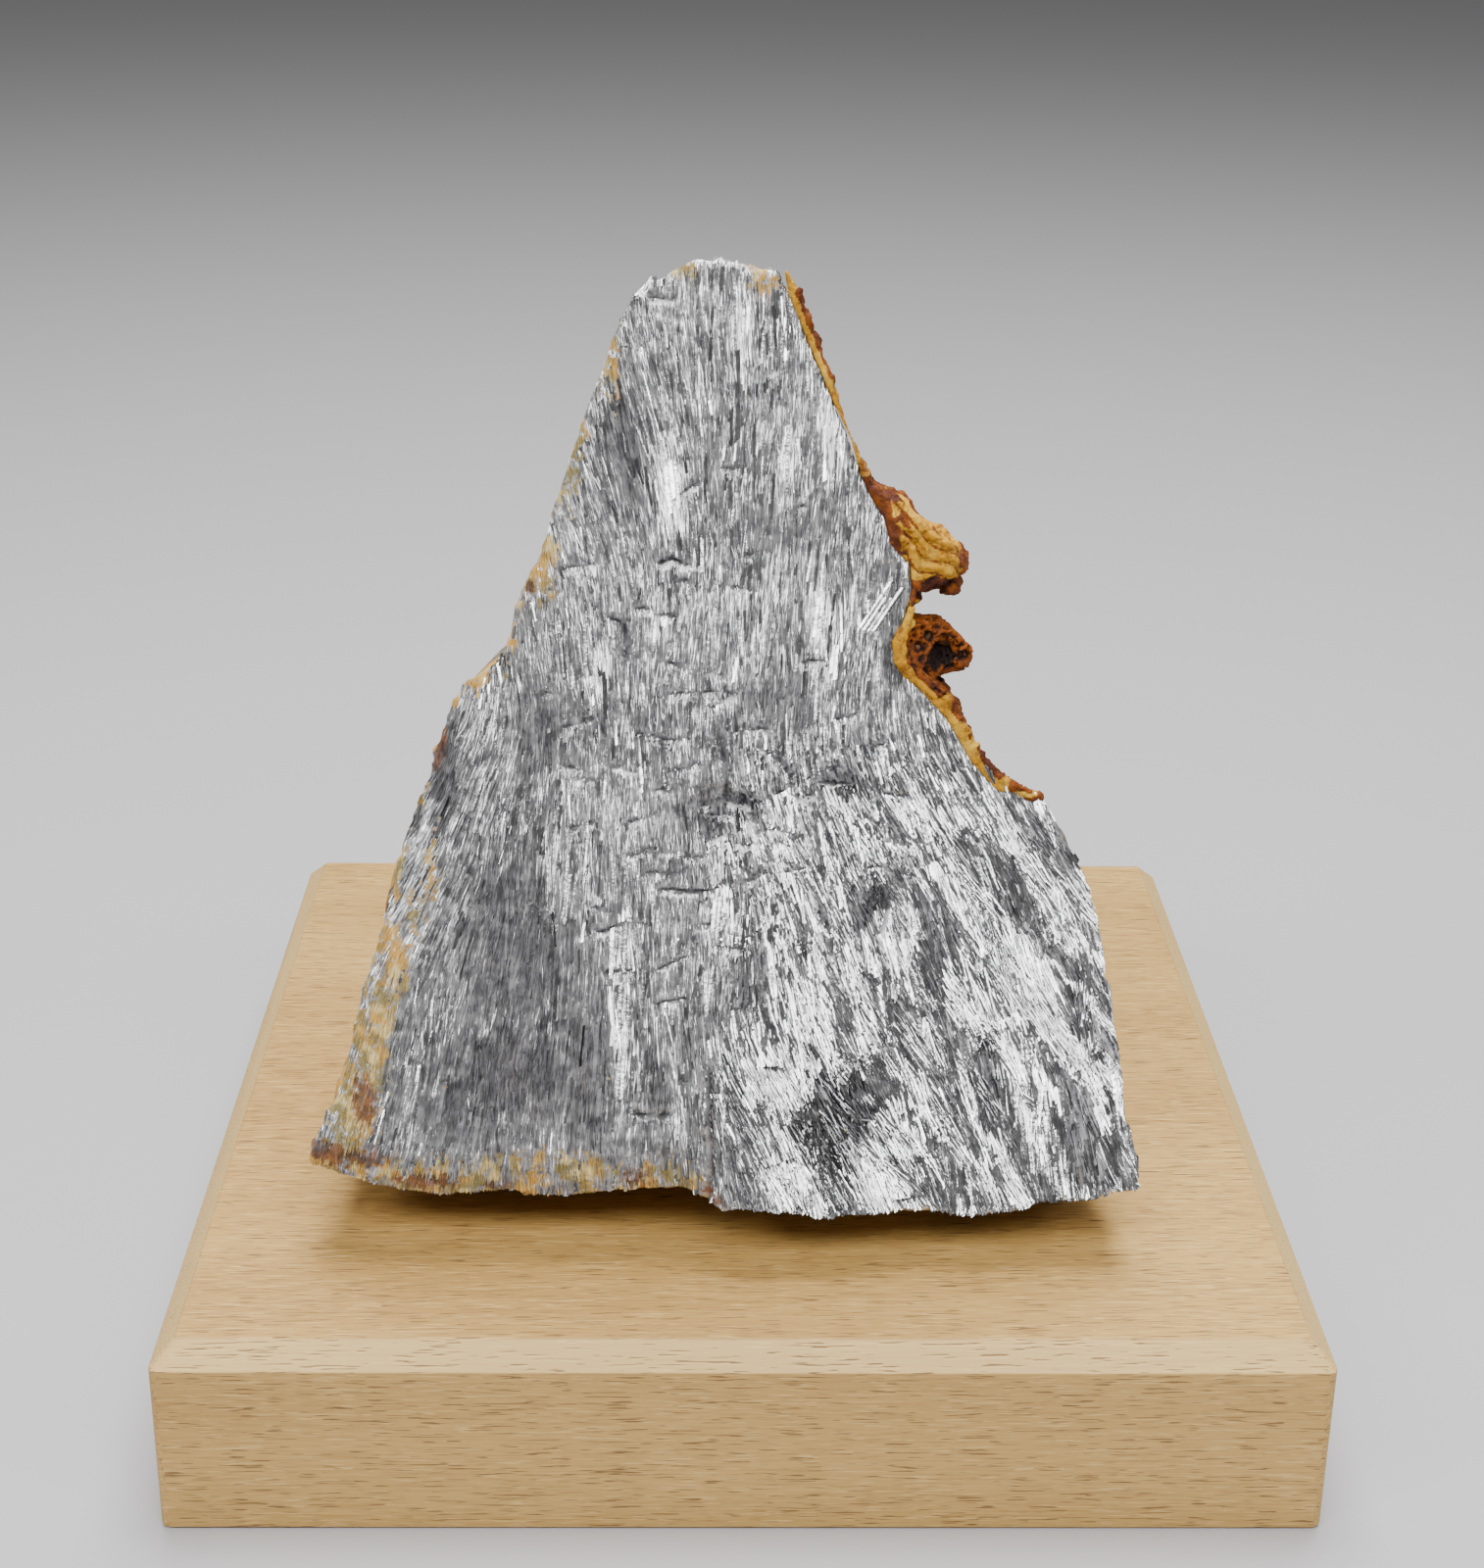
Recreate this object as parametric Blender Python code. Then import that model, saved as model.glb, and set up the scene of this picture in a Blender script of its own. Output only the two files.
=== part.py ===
"""Jamesonite with bindheimite: a leaning mass of fibrous grey ore on a square wooden block.

Metres, +Z up. The origin is the middle of the block's underside, and the fibrous face looks
along -Y. The mass is one grown piece, so it is one solid: a loft from the outline of its face
back to the outline of its rough back, with the knobs on its right edge joined in.
"""
import math

import bmesh
import bpy
from mathutils import Vector, noise

MM = 0.001
GAP = 0.3 * MM

# The wooden block.
BLOCK_WIDE = 100 * MM
BLOCK_TALL = 18 * MM
BLOCK_CHAMFER = 2.1 * MM
BLOCK_CORNER = 0.8 * MM
TOP_CORNER = 0.3 * MM
CORNER_STEPS = 2

# The fibrous face is a plane that leans back, and it starts above the block.
FACE_LEAN = math.radians(8)
FACE_FOOT_Y = -36.8 * MM
FACE_FOOT_Z = 23.5 * MM
MASS_FOOT = BLOCK_TALL + GAP

# The mass is thickest at its foot and thinnest at its top.
MASS_TALL = 104.8 * MM
DEPTH_AT_FOOT = 56 * MM
DEPTH_AT_TOP = 16 * MM

# The outline of the face, in millimetres across and up, each edge from its lower or left end.
LEFT_EDGE = [
    (-38.2, 26.8), (-37.6, 30.0), (-35.6, 33.6), (-34.6, 37.2), (-33.8, 41.0), (-32.5, 45.2),
    (-31.0, 50.0), (-29.8, 55.2), (-27.6, 61.4), (-25.8, 66.0), (-24.8, 69.2), (-23.2, 70.5),
    (-21.4, 70.8), (-20.0, 73.4), (-19.5, 77.0), (-17.6, 80.1), (-15.4, 87.2), (-13.3, 93.2),
    (-11.2, 98.8), (-9.7, 101.9),
]
RIGHT_EDGE = [
    (34.6, 25.6), (34.8, 28.4), (33.5, 31.2), (32.7, 35.8), (31.3, 42.2), (30.6, 47.8),
    (29.7, 51.2), (28.6, 54.6), (27.0, 57.2), (25.8, 59.2), (24.2, 61.4), (22.0, 61.8),
    (19.4, 64.2), (17.7, 67.2), (16.6, 69.6), (13.6, 71.4), (12.6, 73.4), (13.4, 76.0),
    (14.2, 79.6), (12.6, 82.6), (10.9, 85.4), (9.2, 87.8), (7.4, 91.8), (6.2, 95.4),
    (5.1, 97.8), (4.2, 100.6), (2.7, 103.4),
]
TOP_EDGE = [
    (-9.7, 101.9), (-8.6, 102.9), (-6.4, 103.6), (-4.4, 104.7), (-2.8, 104.8), (-2.1, 104.3),
    (-0.2, 104.4), (1.4, 103.8), (2.7, 103.4),
]
FOOT_EDGE = [
    (-38.2, 26.8), (-35.4, 25.9), (-33.0, 25.1), (-29.8, 24.3), (-26.6, 23.7), (-21.8, 24.4),
    (-16.2, 23.7), (-9.4, 24.4), (-4.2, 24.6), (-3.0, 24.4), (0.6, 24.5), (3.0, 24.1),
    (6.5, 23.6), (12.6, 23.8), (18.0, 23.1), (24.6, 23.7), (29.4, 24.2), (32.6, 25.2),
    (34.6, 25.6),
]
COLUMNS = 42
ROWS = 36

# How the outline changes on its way back: the share of the depth, then how far it spreads to the
# sides, how far its upper half rises and how far its lower half drops, about the waist.
WAIST_X = -2.5 * MM
WAIST_Z = 45 * MM
WAY_BACK = [
    (0.00, 1.00, 1.000, 1.00),
    (0.04, 1.00, 1.000, 1.06),
    (0.10, 1.00, 0.995, 1.14),
    (0.20, 1.00, 0.985, 1.34),
    (0.34, 0.99, 0.970, 1.36),
    (0.50, 0.97, 0.945, 1.36),
    (0.66, 0.93, 0.920, 1.34),
    (0.80, 0.86, 0.890, 1.26),
    (0.91, 0.77, 0.850, 1.08),
    (1.00, 0.64, 0.790, 0.82),
]

# The broken rock of the sides and the back: smoothed away from the outline of the face, broken
# inwards in chunks, and then chipped along flat breaks. A chip is a point on it and its direction.
SIDE_SMOOTHING = 5
SMOOTH_BEHIND = 7 * MM
ROCK_CHUNK = 10 * MM
ROCK_DEPTH = 1.7 * MM
ROCK_LOSS = 0.7
ROUGH_BEHIND = 5 * MM
BACK_RIDGE = 5 * MM
CHIP_SIZE = 130 * MM
CHIPS = [
    ((26.5, 8, 35), (0.78, 0.60, 0.18)),
    ((-29.5, 8, 38), (-0.80, 0.55, 0.22)),
    ((-2, 2, 75), (0.22, 0.86, 0.46)),
    ((18, -10, 66), (0.85, 0.36, 0.38)),
    ((-18, -12, 76), (-0.80, 0.44, 0.40)),
    ((0, 17, 34), (-0.20, 0.97, -0.12)),
]

# A scooped bite out of the right side, below the sponge: across, up and radius, in millimetres. It
# runs back, down and a little outwards.
BITE = (26.5, 70.5, 9.5)
BITE_WAY = (0.12, 0.90, -0.43)
BITE_START = 1.5 * MM
BITE_LONG = 60 * MM
BITE_SIDES = 28

# The bundles of fibres on the face. They run straight down on the left, and at the lower right
# they are coarse and fan out.
BUNDLE_WIDE = 4.6 * MM
BUNDLE_LONG = 15 * MM
FINE_RELIEF = 0.45 * MM
COARSE_RELIEF = 1.5 * MM
FAN_ANGLE = math.radians(26)
FAN_LEFT, FAN_RIGHT = -3 * MM, 12 * MM
FAN_FOOT, FAN_TOP = 50 * MM, 68 * MM

# The lower right of the face stands proud of the rest, with a step along its left side.
STEP_X = -3.2 * MM
STEP_TOP = 40 * MM
STEP_HEIGHT = 2.2 * MM

# The left edge and the left half of the foot are broken away from the face.
LEFT_BEVEL = [(0.0, 2.0), (44.0, 2.6), (52.0, 3.8), (69.0, 4.2), (72.0, 1.0), (104.0, 0.6)]
FOOT_BEVEL = 4.0 * MM
LEFT_FALL = 0.8
FOOT_FALL = 0.5

# Pits in the face: across, up, half width, half height and depth, in millimetres.
PITS = [
    (11.9, 50.2, 2.6, 3.2, 2.4), (27.4, 55.6, 2.4, 2.0, 2.2), (10.1, 32.6, 4.2, 3.4, 2.6),
    (3.0, 30.3, 2.8, 2.2, 1.8), (-0.9, 59.0, 3.2, 1.6, 1.6), (7.2, 61.3, 3.0, 1.4, 1.4),
    (-26.8, 62.0, 2.2, 5.0, 1.2), (-20.0, 42.0, 5.5, 9.0, 1.0), (-12.4, 64.0, 3.4, 7.0, 1.0),
]

# Knobs on the right edge, each by the corners of its body: across, up and how far behind the face,
# in millimetres. The upper one is the yellow beak and the lower one the brown sponge.
BEAK = [
    (8.4, 87.0, 0.6), (12.0, 85.0, 0.9), (15.6, 81.6, 1.2), (17.8, 79.7, 1.9), (17.9, 78.8, 2.4),
    (16.8, 78.0, 2.6), (13.2, 77.6, 1.0), (8.0, 80.0, 0.8), (7.6, 85.6, 9.0), (12.6, 82.6, 8.6),
    (16.4, 79.6, 7.4), (15.6, 78.0, 8.0), (11.2, 77.2, 10.0),
]
SPONGE = [
    (11.4, 74.6, 1.0), (15.2, 74.9, 1.1), (17.2, 74.3, 1.4), (18.2, 72.5, 1.9), (17.9, 70.9, 2.4),
    (14.8, 69.9, 1.6), (11.6, 71.0, 1.0), (12.0, 73.6, 8.0), (16.6, 72.8, 7.0), (16.2, 70.2, 7.4),
    (11.8, 69.8, 8.6),
]
KNOB_SWELL = 0.2
KNOB_ROUGHNESS = 0.9 * MM
KNOB_GRAIN = 2.4 * MM

# Drusy beads under the beak, and holes in the sponge: across, up, behind the face, and radius.
BEADS = [(16.6, 77.5, 4.0, 1.2), (14.9, 77.6, 5.2, 1.5), (13.6, 77.0, 2.6, 1.0)]
HOLES = [(16.1, 72.3, 1.4, 1.6), (18.6, 71.8, 4.6, 1.3)]


def clear_scene():
    for old in list(bpy.data.objects):
        bpy.data.objects.remove(old, do_unlink=True)


def new_collection(name):
    group = bpy.data.collections.new(name)
    bpy.context.scene.collection.children.link(group)
    return group


def new_material(name, colour, roughness, metallic):
    material = bpy.data.materials.new(name)
    material.use_nodes = True
    shader = material.node_tree.nodes["Principled BSDF"]
    shader.inputs["Base Color"].default_value = (*colour, 1)
    shader.inputs["Roughness"].default_value = roughness
    shader.inputs["Metallic"].default_value = metallic
    return material


def new_object(name, shape, group, material):
    mesh = bpy.data.meshes.new(name)
    shape.to_mesh(mesh)
    shape.free()
    mesh.materials.append(material)
    made = bpy.data.objects.new(name, mesh)
    group.objects.link(made)
    return made


def smooth_step(value, low, high):
    share = min(max((value - low) / (high - low), 0), 1)
    return share * share * (3 - 2 * share)


def between(value, pairs):
    """The value read from a list of (place, amount) pairs, straight between them."""
    for (x0, y0), (x1, y1) in zip(pairs, pairs[1:]):
        if value <= x1:
            return y0 + (y1 - y0) * min(max((value - x0) / (x1 - x0), 0), 1)
    return pairs[-1][1]


def spaced(points, count):
    """A line of points in millimetres, read at equal steps of its length, in metres."""
    line = [Vector(point) * MM for point in points]
    lengths = [0]
    for a, b in zip(line, line[1:]):
        lengths.append(lengths[-1] + (b - a).length)
    across = list(zip(lengths, [point.x for point in line]))
    up = list(zip(lengths, [point.y for point in line]))
    steps = [lengths[-1] * i / count for i in range(count + 1)]
    return [Vector((between(step, across), between(step, up))) for step in steps]


def face_grid():
    """The face's grid of (across, up) places, fitted between its four edges."""
    left, right = spaced(LEFT_EDGE, ROWS), spaced(RIGHT_EDGE, ROWS)
    foot, top = spaced(FOOT_EDGE, COLUMNS), spaced(TOP_EDGE, COLUMNS)
    grid = []
    for i in range(COLUMNS + 1):
        s = i / COLUMNS
        column = []
        for j in range(ROWS + 1):
            t = j / ROWS
            corners = (foot[0] * (1 - s) + foot[-1] * s) * (1 - t) + (top[0] * (1 - s) + top[-1] * s) * t
            sides = left[j] * (1 - s) + right[j] * s
            ends = foot[i] * (1 - t) + top[i] * t
            column.append(sides + ends - corners)
        grid.append(column)
    return grid


def fibre_lean(x, z):
    """How far the fibres lean from upright at a place on the face."""
    return FAN_ANGLE * smooth_step(x, FAN_LEFT, FAN_RIGHT) * (1 - smooth_step(z, FAN_FOOT, FAN_TOP))


def coarseness(x, z):
    """0 where the fibres are fine and 1 where they are coarse blades."""
    return smooth_step(x, FAN_LEFT, FAN_RIGHT) * (1 - smooth_step(z, FAN_FOOT, FAN_TOP))


def broken(place):
    """The height of a broken surface: every cell around its point is a flat, tilted facet."""
    centre = noise.voronoi(place)[1][0]
    tilt = noise.cell_vector(centre * 7.3) * 2 - Vector((1, 1, 1))
    return 0.5 * tilt.z + (place - centre).dot(tilt)


def bundles(x, z):
    """The height of the bundles of fibres, which are long cells along the fibres."""
    lean = fibre_lean(x, z)
    along = (z * math.cos(lean) - x * math.sin(lean)) / BUNDLE_LONG
    across = (x * math.cos(lean) + z * math.sin(lean)) / BUNDLE_WIDE
    height = FINE_RELIEF + (COARSE_RELIEF - FINE_RELIEF) * coarseness(x, z)
    return height * broken(Vector((across, along, 0.5)))


def pits(x, z):
    deep = 0
    for across, up, half_wide, half_tall, depth in PITS:
        away = ((x / MM - across) / half_wide) ** 2 + ((z / MM - up) / half_tall) ** 2
        deep -= depth * MM * math.exp(-away)
    return deep


def proud_step(x, z):
    """The step beside the seam: the right side stands proud, and the step fades upwards."""
    side = smooth_step(x, STEP_X - 0.6 * MM, STEP_X + 0.6 * MM)
    fade_right = 1 - smooth_step(x, STEP_X + 4 * MM, STEP_X + 26 * MM)
    return STEP_HEIGHT * side * fade_right * (1 - smooth_step(z, 0.75 * STEP_TOP, STEP_TOP))


def broken_edges(x, z, from_left, from_foot):
    """How far the left edge and the left half of the foot fall away from the face."""
    left = max(between(z / MM, LEFT_BEVEL) * MM - from_left, 0)
    foot = max(FOOT_BEVEL - from_foot, 0) * (1 - smooth_step(x, STEP_X - 2 * MM, STEP_X))
    return -max(LEFT_FALL * left, FOOT_FALL * foot)


def face_relief(x, z, from_left, from_foot):
    """How far the face stands in front of its plane."""
    return bundles(x, z) + pits(x, z) + proud_step(x, z) + broken_edges(x, z, from_left, from_foot)


def face_plane(x, z):
    return Vector((x, FACE_FOOT_Y + (z - FACE_FOOT_Z) * math.tan(FACE_LEAN), z))


def thickness(z):
    """How thick the mass is at a height."""
    height = (z - FACE_FOOT_Z) / (MASS_TALL - FACE_FOOT_Z)
    return DEPTH_AT_FOOT + (DEPTH_AT_TOP - DEPTH_AT_FOOT) * min(max(height, 0), 1)


def way_back(place, step):
    """Where a place of the face lies after a step of the way to the back."""
    share, spread, rise, drop = WAY_BACK[step]
    back_y = face_plane(place.x, place.z).y + thickness(place.z)
    side = WAIST_X + (place.x - WAIST_X) * spread
    up = WAIST_Z + (place.z - WAIST_Z) * (rise if place.z > WAIST_Z else drop)
    return Vector((side, place.y + share * (back_y - place.y), up))


def front_place(grid, i, j):
    flat = grid[i][j]
    from_left = flat.x - grid[0][j].x
    from_foot = flat.y - grid[i][0].y
    outward = Vector((0, -math.cos(FACE_LEAN), math.sin(FACE_LEAN)))
    return face_plane(*flat) + outward * face_relief(*flat, from_left, from_foot)


def back_place(face_place, i, j):
    """The back bulges between its edges."""
    s, t = 2 * i / COLUMNS - 1, 2 * j / ROWS - 1
    bulge = BACK_RIDGE * (1 - s * s) * (1 - t * t)
    return way_back(face_place, len(WAY_BACK) - 1) + Vector((0, bulge, 0))


def outline_places():
    """The places of the grid around its outline, once round."""
    foot = [(i, 0) for i in range(COLUMNS)]
    right = [(COLUMNS, j) for j in range(ROWS)]
    top = [(i, ROWS) for i in range(COLUMNS, 0, -1)]
    left = [(0, j) for j in range(ROWS, 0, -1)]
    return foot + right + top + left


def mass_shape():
    """The mass as a loft: the face, the rings of its sides, and the back."""
    shape = bmesh.new()
    grid = face_grid()
    cells = [(i, j) for i in range(COLUMNS + 1) for j in range(ROWS + 1)]
    front = {cell: shape.verts.new(front_place(grid, *cell)) for cell in cells}
    back = {cell: shape.verts.new(back_place(front[cell].co, *cell)) for cell in cells}
    ring_cells = outline_places()
    rings = [[front[cell] for cell in ring_cells]]
    for step in range(1, len(WAY_BACK) - 1):
        rings.append([shape.verts.new(way_back(front[cell].co, step)) for cell in ring_cells])
    rings.append([back[cell] for cell in ring_cells])
    for ring, following in zip(rings, rings[1:]):
        for k in range(len(ring)):
            after = (k + 1) % len(ring)
            shape.faces.new((ring[k], ring[after], following[after], following[k]))
    for patch in (front, back):
        for i in range(COLUMNS):
            for j in range(ROWS):
                corners = [(i, j), (i + 1, j), (i + 1, j + 1), (i, j + 1)]
                shape.faces.new([patch[corner] for corner in corners])
    bmesh.ops.recalc_face_normals(shape, faces=shape.faces[:])
    faced = set(front.values())
    roughen(shape, [vert for vert in shape.verts if vert not in faced])
    bmesh.ops.triangulate(shape, faces=shape.faces[:])
    return shape


def behind_face(place):
    return place.y - face_plane(*place.xz).y


def roughen(shape, verts):
    """Breaks up the sides and the back, and keeps them above the block."""
    far = [vert for vert in verts if behind_face(vert.co) > SMOOTH_BEHIND]
    for _ in range(SIDE_SMOOTHING):
        bmesh.ops.smooth_vert(shape, verts=far, factor=0.5, use_axis_x=True, use_axis_y=True, use_axis_z=True)
    shape.normal_update()
    pushes = []
    for vert in verts:
        amount = smooth_step(behind_face(vert.co), 0, ROUGH_BEHIND)
        amount *= ROCK_DEPTH * thickness(vert.co.z) / DEPTH_AT_FOOT
        pushes.append(vert.normal * amount * (broken(vert.co / ROCK_CHUNK) - ROCK_LOSS))
    for vert, push in zip(verts, pushes):
        vert.co += push
        vert.co.z = max(vert.co.z, MASS_FOOT)


def chip_shape(point, direction):
    """A box that stands on the flat break of a chip."""
    shape = bmesh.new()
    bmesh.ops.create_cube(shape, size=CHIP_SIZE)
    stand(shape, Vector(point) * MM, Vector(direction).normalized(), CHIP_SIZE / 2)
    return shape


def stand(shape, foot, direction, half_long):
    """Stands an upright shape on a foot, along a direction."""
    turn = Vector((0, 0, 1)).rotation_difference(direction)
    for vert in shape.verts:
        vert.co = foot + direction * half_long + turn @ vert.co


def knob_place(across, up, behind):
    return face_plane(across * MM, up * MM) + Vector((0, behind * MM, 0))


def knob_shape(corners):
    """A rough lump: the hull round its corners, subdivided and roughened."""
    shape = bmesh.new()
    for corner in corners:
        shape.verts.new(knob_place(*corner))
    hull = bmesh.ops.convex_hull(shape, input=shape.verts[:])
    bmesh.ops.delete(shape, geom=hull["geom_interior"], context="VERTS")
    bmesh.ops.subdivide_edges(shape, edges=shape.edges[:], cuts=2, smooth=KNOB_SWELL, use_grid_fill=True)
    bmesh.ops.recalc_face_normals(shape, faces=shape.faces[:])
    shape.normal_update()
    pushes = [vert.normal * KNOB_ROUGHNESS * noise.noise(vert.co / KNOB_GRAIN) for vert in shape.verts]
    for vert, push in zip(shape.verts, pushes):
        vert.co += push
    return shape


def bite_shape(across, up, radius):
    """A round bar that runs back from a little behind the face."""
    shape = bmesh.new()
    radius *= MM
    bmesh.ops.create_cone(
        shape, cap_ends=True, segments=BITE_SIDES, radius1=radius, radius2=radius, depth=BITE_LONG
    )
    way = Vector(BITE_WAY).normalized()
    stand(shape, knob_place(across, up, 0) + way * BITE_START, way, BITE_LONG / 2)
    return shape


def bead_shape(across, up, behind, radius):
    shape = bmesh.new()
    bmesh.ops.create_icosphere(shape, subdivisions=1, radius=radius * MM)
    bmesh.ops.translate(shape, verts=shape.verts[:], vec=knob_place(across, up, behind))
    return shape


def combine(mass, operation, name, shape, cutters, material):
    """Cuts a shape from the mass, or joins it on."""
    other = new_object(name, shape, cutters, material)
    other.hide_render = True
    other.display_type = "WIRE"
    step = mass.modifiers.new(name, "BOOLEAN")
    step.operation = operation
    step.solver = "EXACT"
    step.object = other


def block_ring(shape, half_wide, corner, height):
    """A level square of points with rounded corners."""
    ring = []
    for quarter in range(4):
        middle = math.radians(90 * quarter + 45)
        centre_x = math.copysign(half_wide - corner, math.cos(middle))
        centre_y = math.copysign(half_wide - corner, math.sin(middle))
        for step in range(CORNER_STEPS + 1):
            angle = math.radians(90 * (quarter + step / CORNER_STEPS))
            x = centre_x + corner * math.cos(angle)
            y = centre_y + corner * math.sin(angle)
            ring.append(shape.verts.new((x, y, height)))
    return ring


def block_shape():
    """The block: eased upright corners and a chamfer round its top."""
    shape = bmesh.new()
    half_wide = BLOCK_WIDE / 2
    foot = block_ring(shape, half_wide, BLOCK_CORNER, 0)
    shoulder = block_ring(shape, half_wide, BLOCK_CORNER, BLOCK_TALL - BLOCK_CHAMFER)
    top = block_ring(shape, half_wide - BLOCK_CHAMFER, TOP_CORNER, BLOCK_TALL)
    for lower, upper in ((foot, shoulder), (shoulder, top)):
        for k in range(len(lower)):
            after = (k + 1) % len(lower)
            shape.faces.new((lower[k], lower[after], upper[after], upper[k]))
    shape.faces.new(reversed(foot))
    shape.faces.new(top)
    return shape


def build():
    clear_scene()
    parts = new_collection("jamesonite_with_bindheimite")
    cutters = new_collection("shapes_that_join")
    wood = new_material("wood", (0.62, 0.42, 0.22), 0.6, 0.0)
    ore = new_material("jamesonite", (0.42, 0.42, 0.43), 0.38, 0.9)
    new_object("wood_block", block_shape(), parts, wood)
    mass = new_object("mineral_specimen", mass_shape(), parts, ore)
    for number, chip in enumerate(CHIPS, 1):
        combine(mass, "DIFFERENCE", f"chip_{number}", chip_shape(*chip), cutters, ore)
    combine(mass, "DIFFERENCE", "bite", bite_shape(*BITE), cutters, ore)
    combine(mass, "UNION", "beak", knob_shape(BEAK), cutters, ore)
    combine(mass, "UNION", "sponge", knob_shape(SPONGE), cutters, ore)
    for number, bead in enumerate(BEADS, 1):
        combine(mass, "UNION", f"bead_{number}", bead_shape(*bead), cutters, ore)
    for number, hole in enumerate(HOLES, 1):
        combine(mass, "DIFFERENCE", f"hole_{number}", bead_shape(*hole), cutters, ore)


build()
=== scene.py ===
# %% [markdown]
# # Jamesonite with bindheimite on a wooden block
# This script dresses a finished frame. The frame holds two solids at their real size: a square
# wooden block and the ore that rests on it. Here they get their looks: felted silver fibres,
# coarse bright blades, a yellow rind with a beak, a brown sponge, and grained wood.
# Everything is in metres, and the fibrous face looks along -Y.

# %% Load the frame
import math

import bmesh
import bpy
import numpy as np
from mathutils import Matrix, Quaternion, Vector, noise
from mathutils.bvhtree import BVHTree


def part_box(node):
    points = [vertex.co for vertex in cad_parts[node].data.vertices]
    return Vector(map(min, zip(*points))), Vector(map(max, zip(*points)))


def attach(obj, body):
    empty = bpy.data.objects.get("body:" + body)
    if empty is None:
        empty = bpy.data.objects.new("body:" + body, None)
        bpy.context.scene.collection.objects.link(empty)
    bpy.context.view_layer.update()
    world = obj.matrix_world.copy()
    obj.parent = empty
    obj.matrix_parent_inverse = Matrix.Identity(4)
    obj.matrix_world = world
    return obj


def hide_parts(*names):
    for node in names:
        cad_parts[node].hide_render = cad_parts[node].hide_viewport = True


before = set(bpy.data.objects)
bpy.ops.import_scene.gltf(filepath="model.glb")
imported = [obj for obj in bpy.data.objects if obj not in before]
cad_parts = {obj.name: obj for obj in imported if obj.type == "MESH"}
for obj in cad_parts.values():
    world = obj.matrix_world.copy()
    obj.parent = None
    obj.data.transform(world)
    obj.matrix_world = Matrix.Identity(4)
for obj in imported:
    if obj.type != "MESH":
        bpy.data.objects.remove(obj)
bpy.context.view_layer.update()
MM = 0.001
ORE_NODE, BLOCK_NODE = "mineral_specimen", "wood_block"
ore_low, ore_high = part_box(ORE_NODE)
block_low, block_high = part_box(BLOCK_NODE)


def link(name, data, look=None):
    """Puts a new object into the scene, and gives it its finish."""
    thing = bpy.data.objects.new(name, data)
    bpy.context.scene.collection.objects.link(thing)
    if look:
        data.materials.clear()
        data.materials.append(look.material)
    return thing


def mesh_of(name, shape):
    """The mesh of what was built in a bmesh, which is then freed."""
    mesh = bpy.data.meshes.new(name)
    shape.to_mesh(mesh)
    shape.free()
    return mesh


print("ore box in mm", [round(c / MM, 1) for c in (*ore_low, *ore_high)])


# %% [markdown]
# The camera stands where the photograph was taken from. Its place and angles come from the four
# corners of the block, which is a known square. A camera looks along its own -Z, so the look
# direction becomes a rotation first, and the small roll is added about the view axis.

# %% Camera
CAMERA_PLACE = Vector((-4.2, -232.8, 146.4)) * MM
CAMERA_PITCH, CAMERA_YAW, CAMERA_ROLL = (math.radians(a) for a in (22.815, 1.044, 0.698))
CAMERA_LENS, CAMERA_FILM, CAMERA_NEAREST = 60.05, 36, 10 * MM

look = Vector((
    math.sin(CAMERA_YAW) * math.cos(CAMERA_PITCH),
    math.cos(CAMERA_YAW) * math.cos(CAMERA_PITCH),
    -math.sin(CAMERA_PITCH),
))
camera_data = bpy.data.cameras.new("camera")
camera_data.lens = CAMERA_LENS
camera_data.sensor_width = CAMERA_FILM
camera_data.clip_start = CAMERA_NEAREST
camera = link("camera", camera_data)
camera.rotation_mode = "QUATERNION"
camera.rotation_quaternion = look.to_track_quat("-Z", "Y") @ Quaternion((0, 0, 1), CAMERA_ROLL)
camera.location = CAMERA_PLACE
bpy.context.scene.camera = camera
print("camera", [round(c, 4) for c in camera.location])


# %% [markdown]
# Metal looks like what it reflects, so the lights matter more here than on most things. A large
# soft panel overhead gives the dark shadow under the ore. A wide panel high in front, with a
# small one on each side, gives the fibres their glints, and a dim grey world fills in the rest.

# %% Lights and world
LIGHTS = {
    "overhead": ((0.02, 0.09, 0.55), (0.34, 0.28), 6.0),
    "front": ((0.0, -0.43, 0.50), (0.60, 0.20), 4.2),
    "front_left": ((-0.40, -0.34, 0.46), (0.15, 0.15), 1.5),
    "front_right": ((0.44, -0.34, 0.46), (0.15, 0.15), 0.9),
}
AIM = Vector((0, -0.01, 0.05))
WORLD_GREY = 0.20


def add_panel(name, place, size, power):
    data = bpy.data.lights.new(name, "AREA")
    data.shape = "RECTANGLE"
    data.size, data.size_y = size
    data.energy = power
    panel = link(name, data)
    panel.location = place
    panel.rotation_euler = (AIM - Vector(place)).to_track_quat("-Z", "Y").to_euler()


for name, settings in LIGHTS.items():
    add_panel(name, *settings)
world = bpy.data.worlds.new("room")
world.use_nodes = True
world.node_tree.nodes["Background"].inputs["Color"].default_value = (WORLD_GREY,) * 3 + (1,)
bpy.context.scene.world = world
print("lights", sorted(LIGHTS))


# %% [markdown]
# Shader maths reads best as plain arithmetic. The class below wraps one output socket, and each
# operator adds the Math node that does the same. Everything else goes through one method, which
# takes a node's type, its settings and what goes into its sockets.

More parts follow.
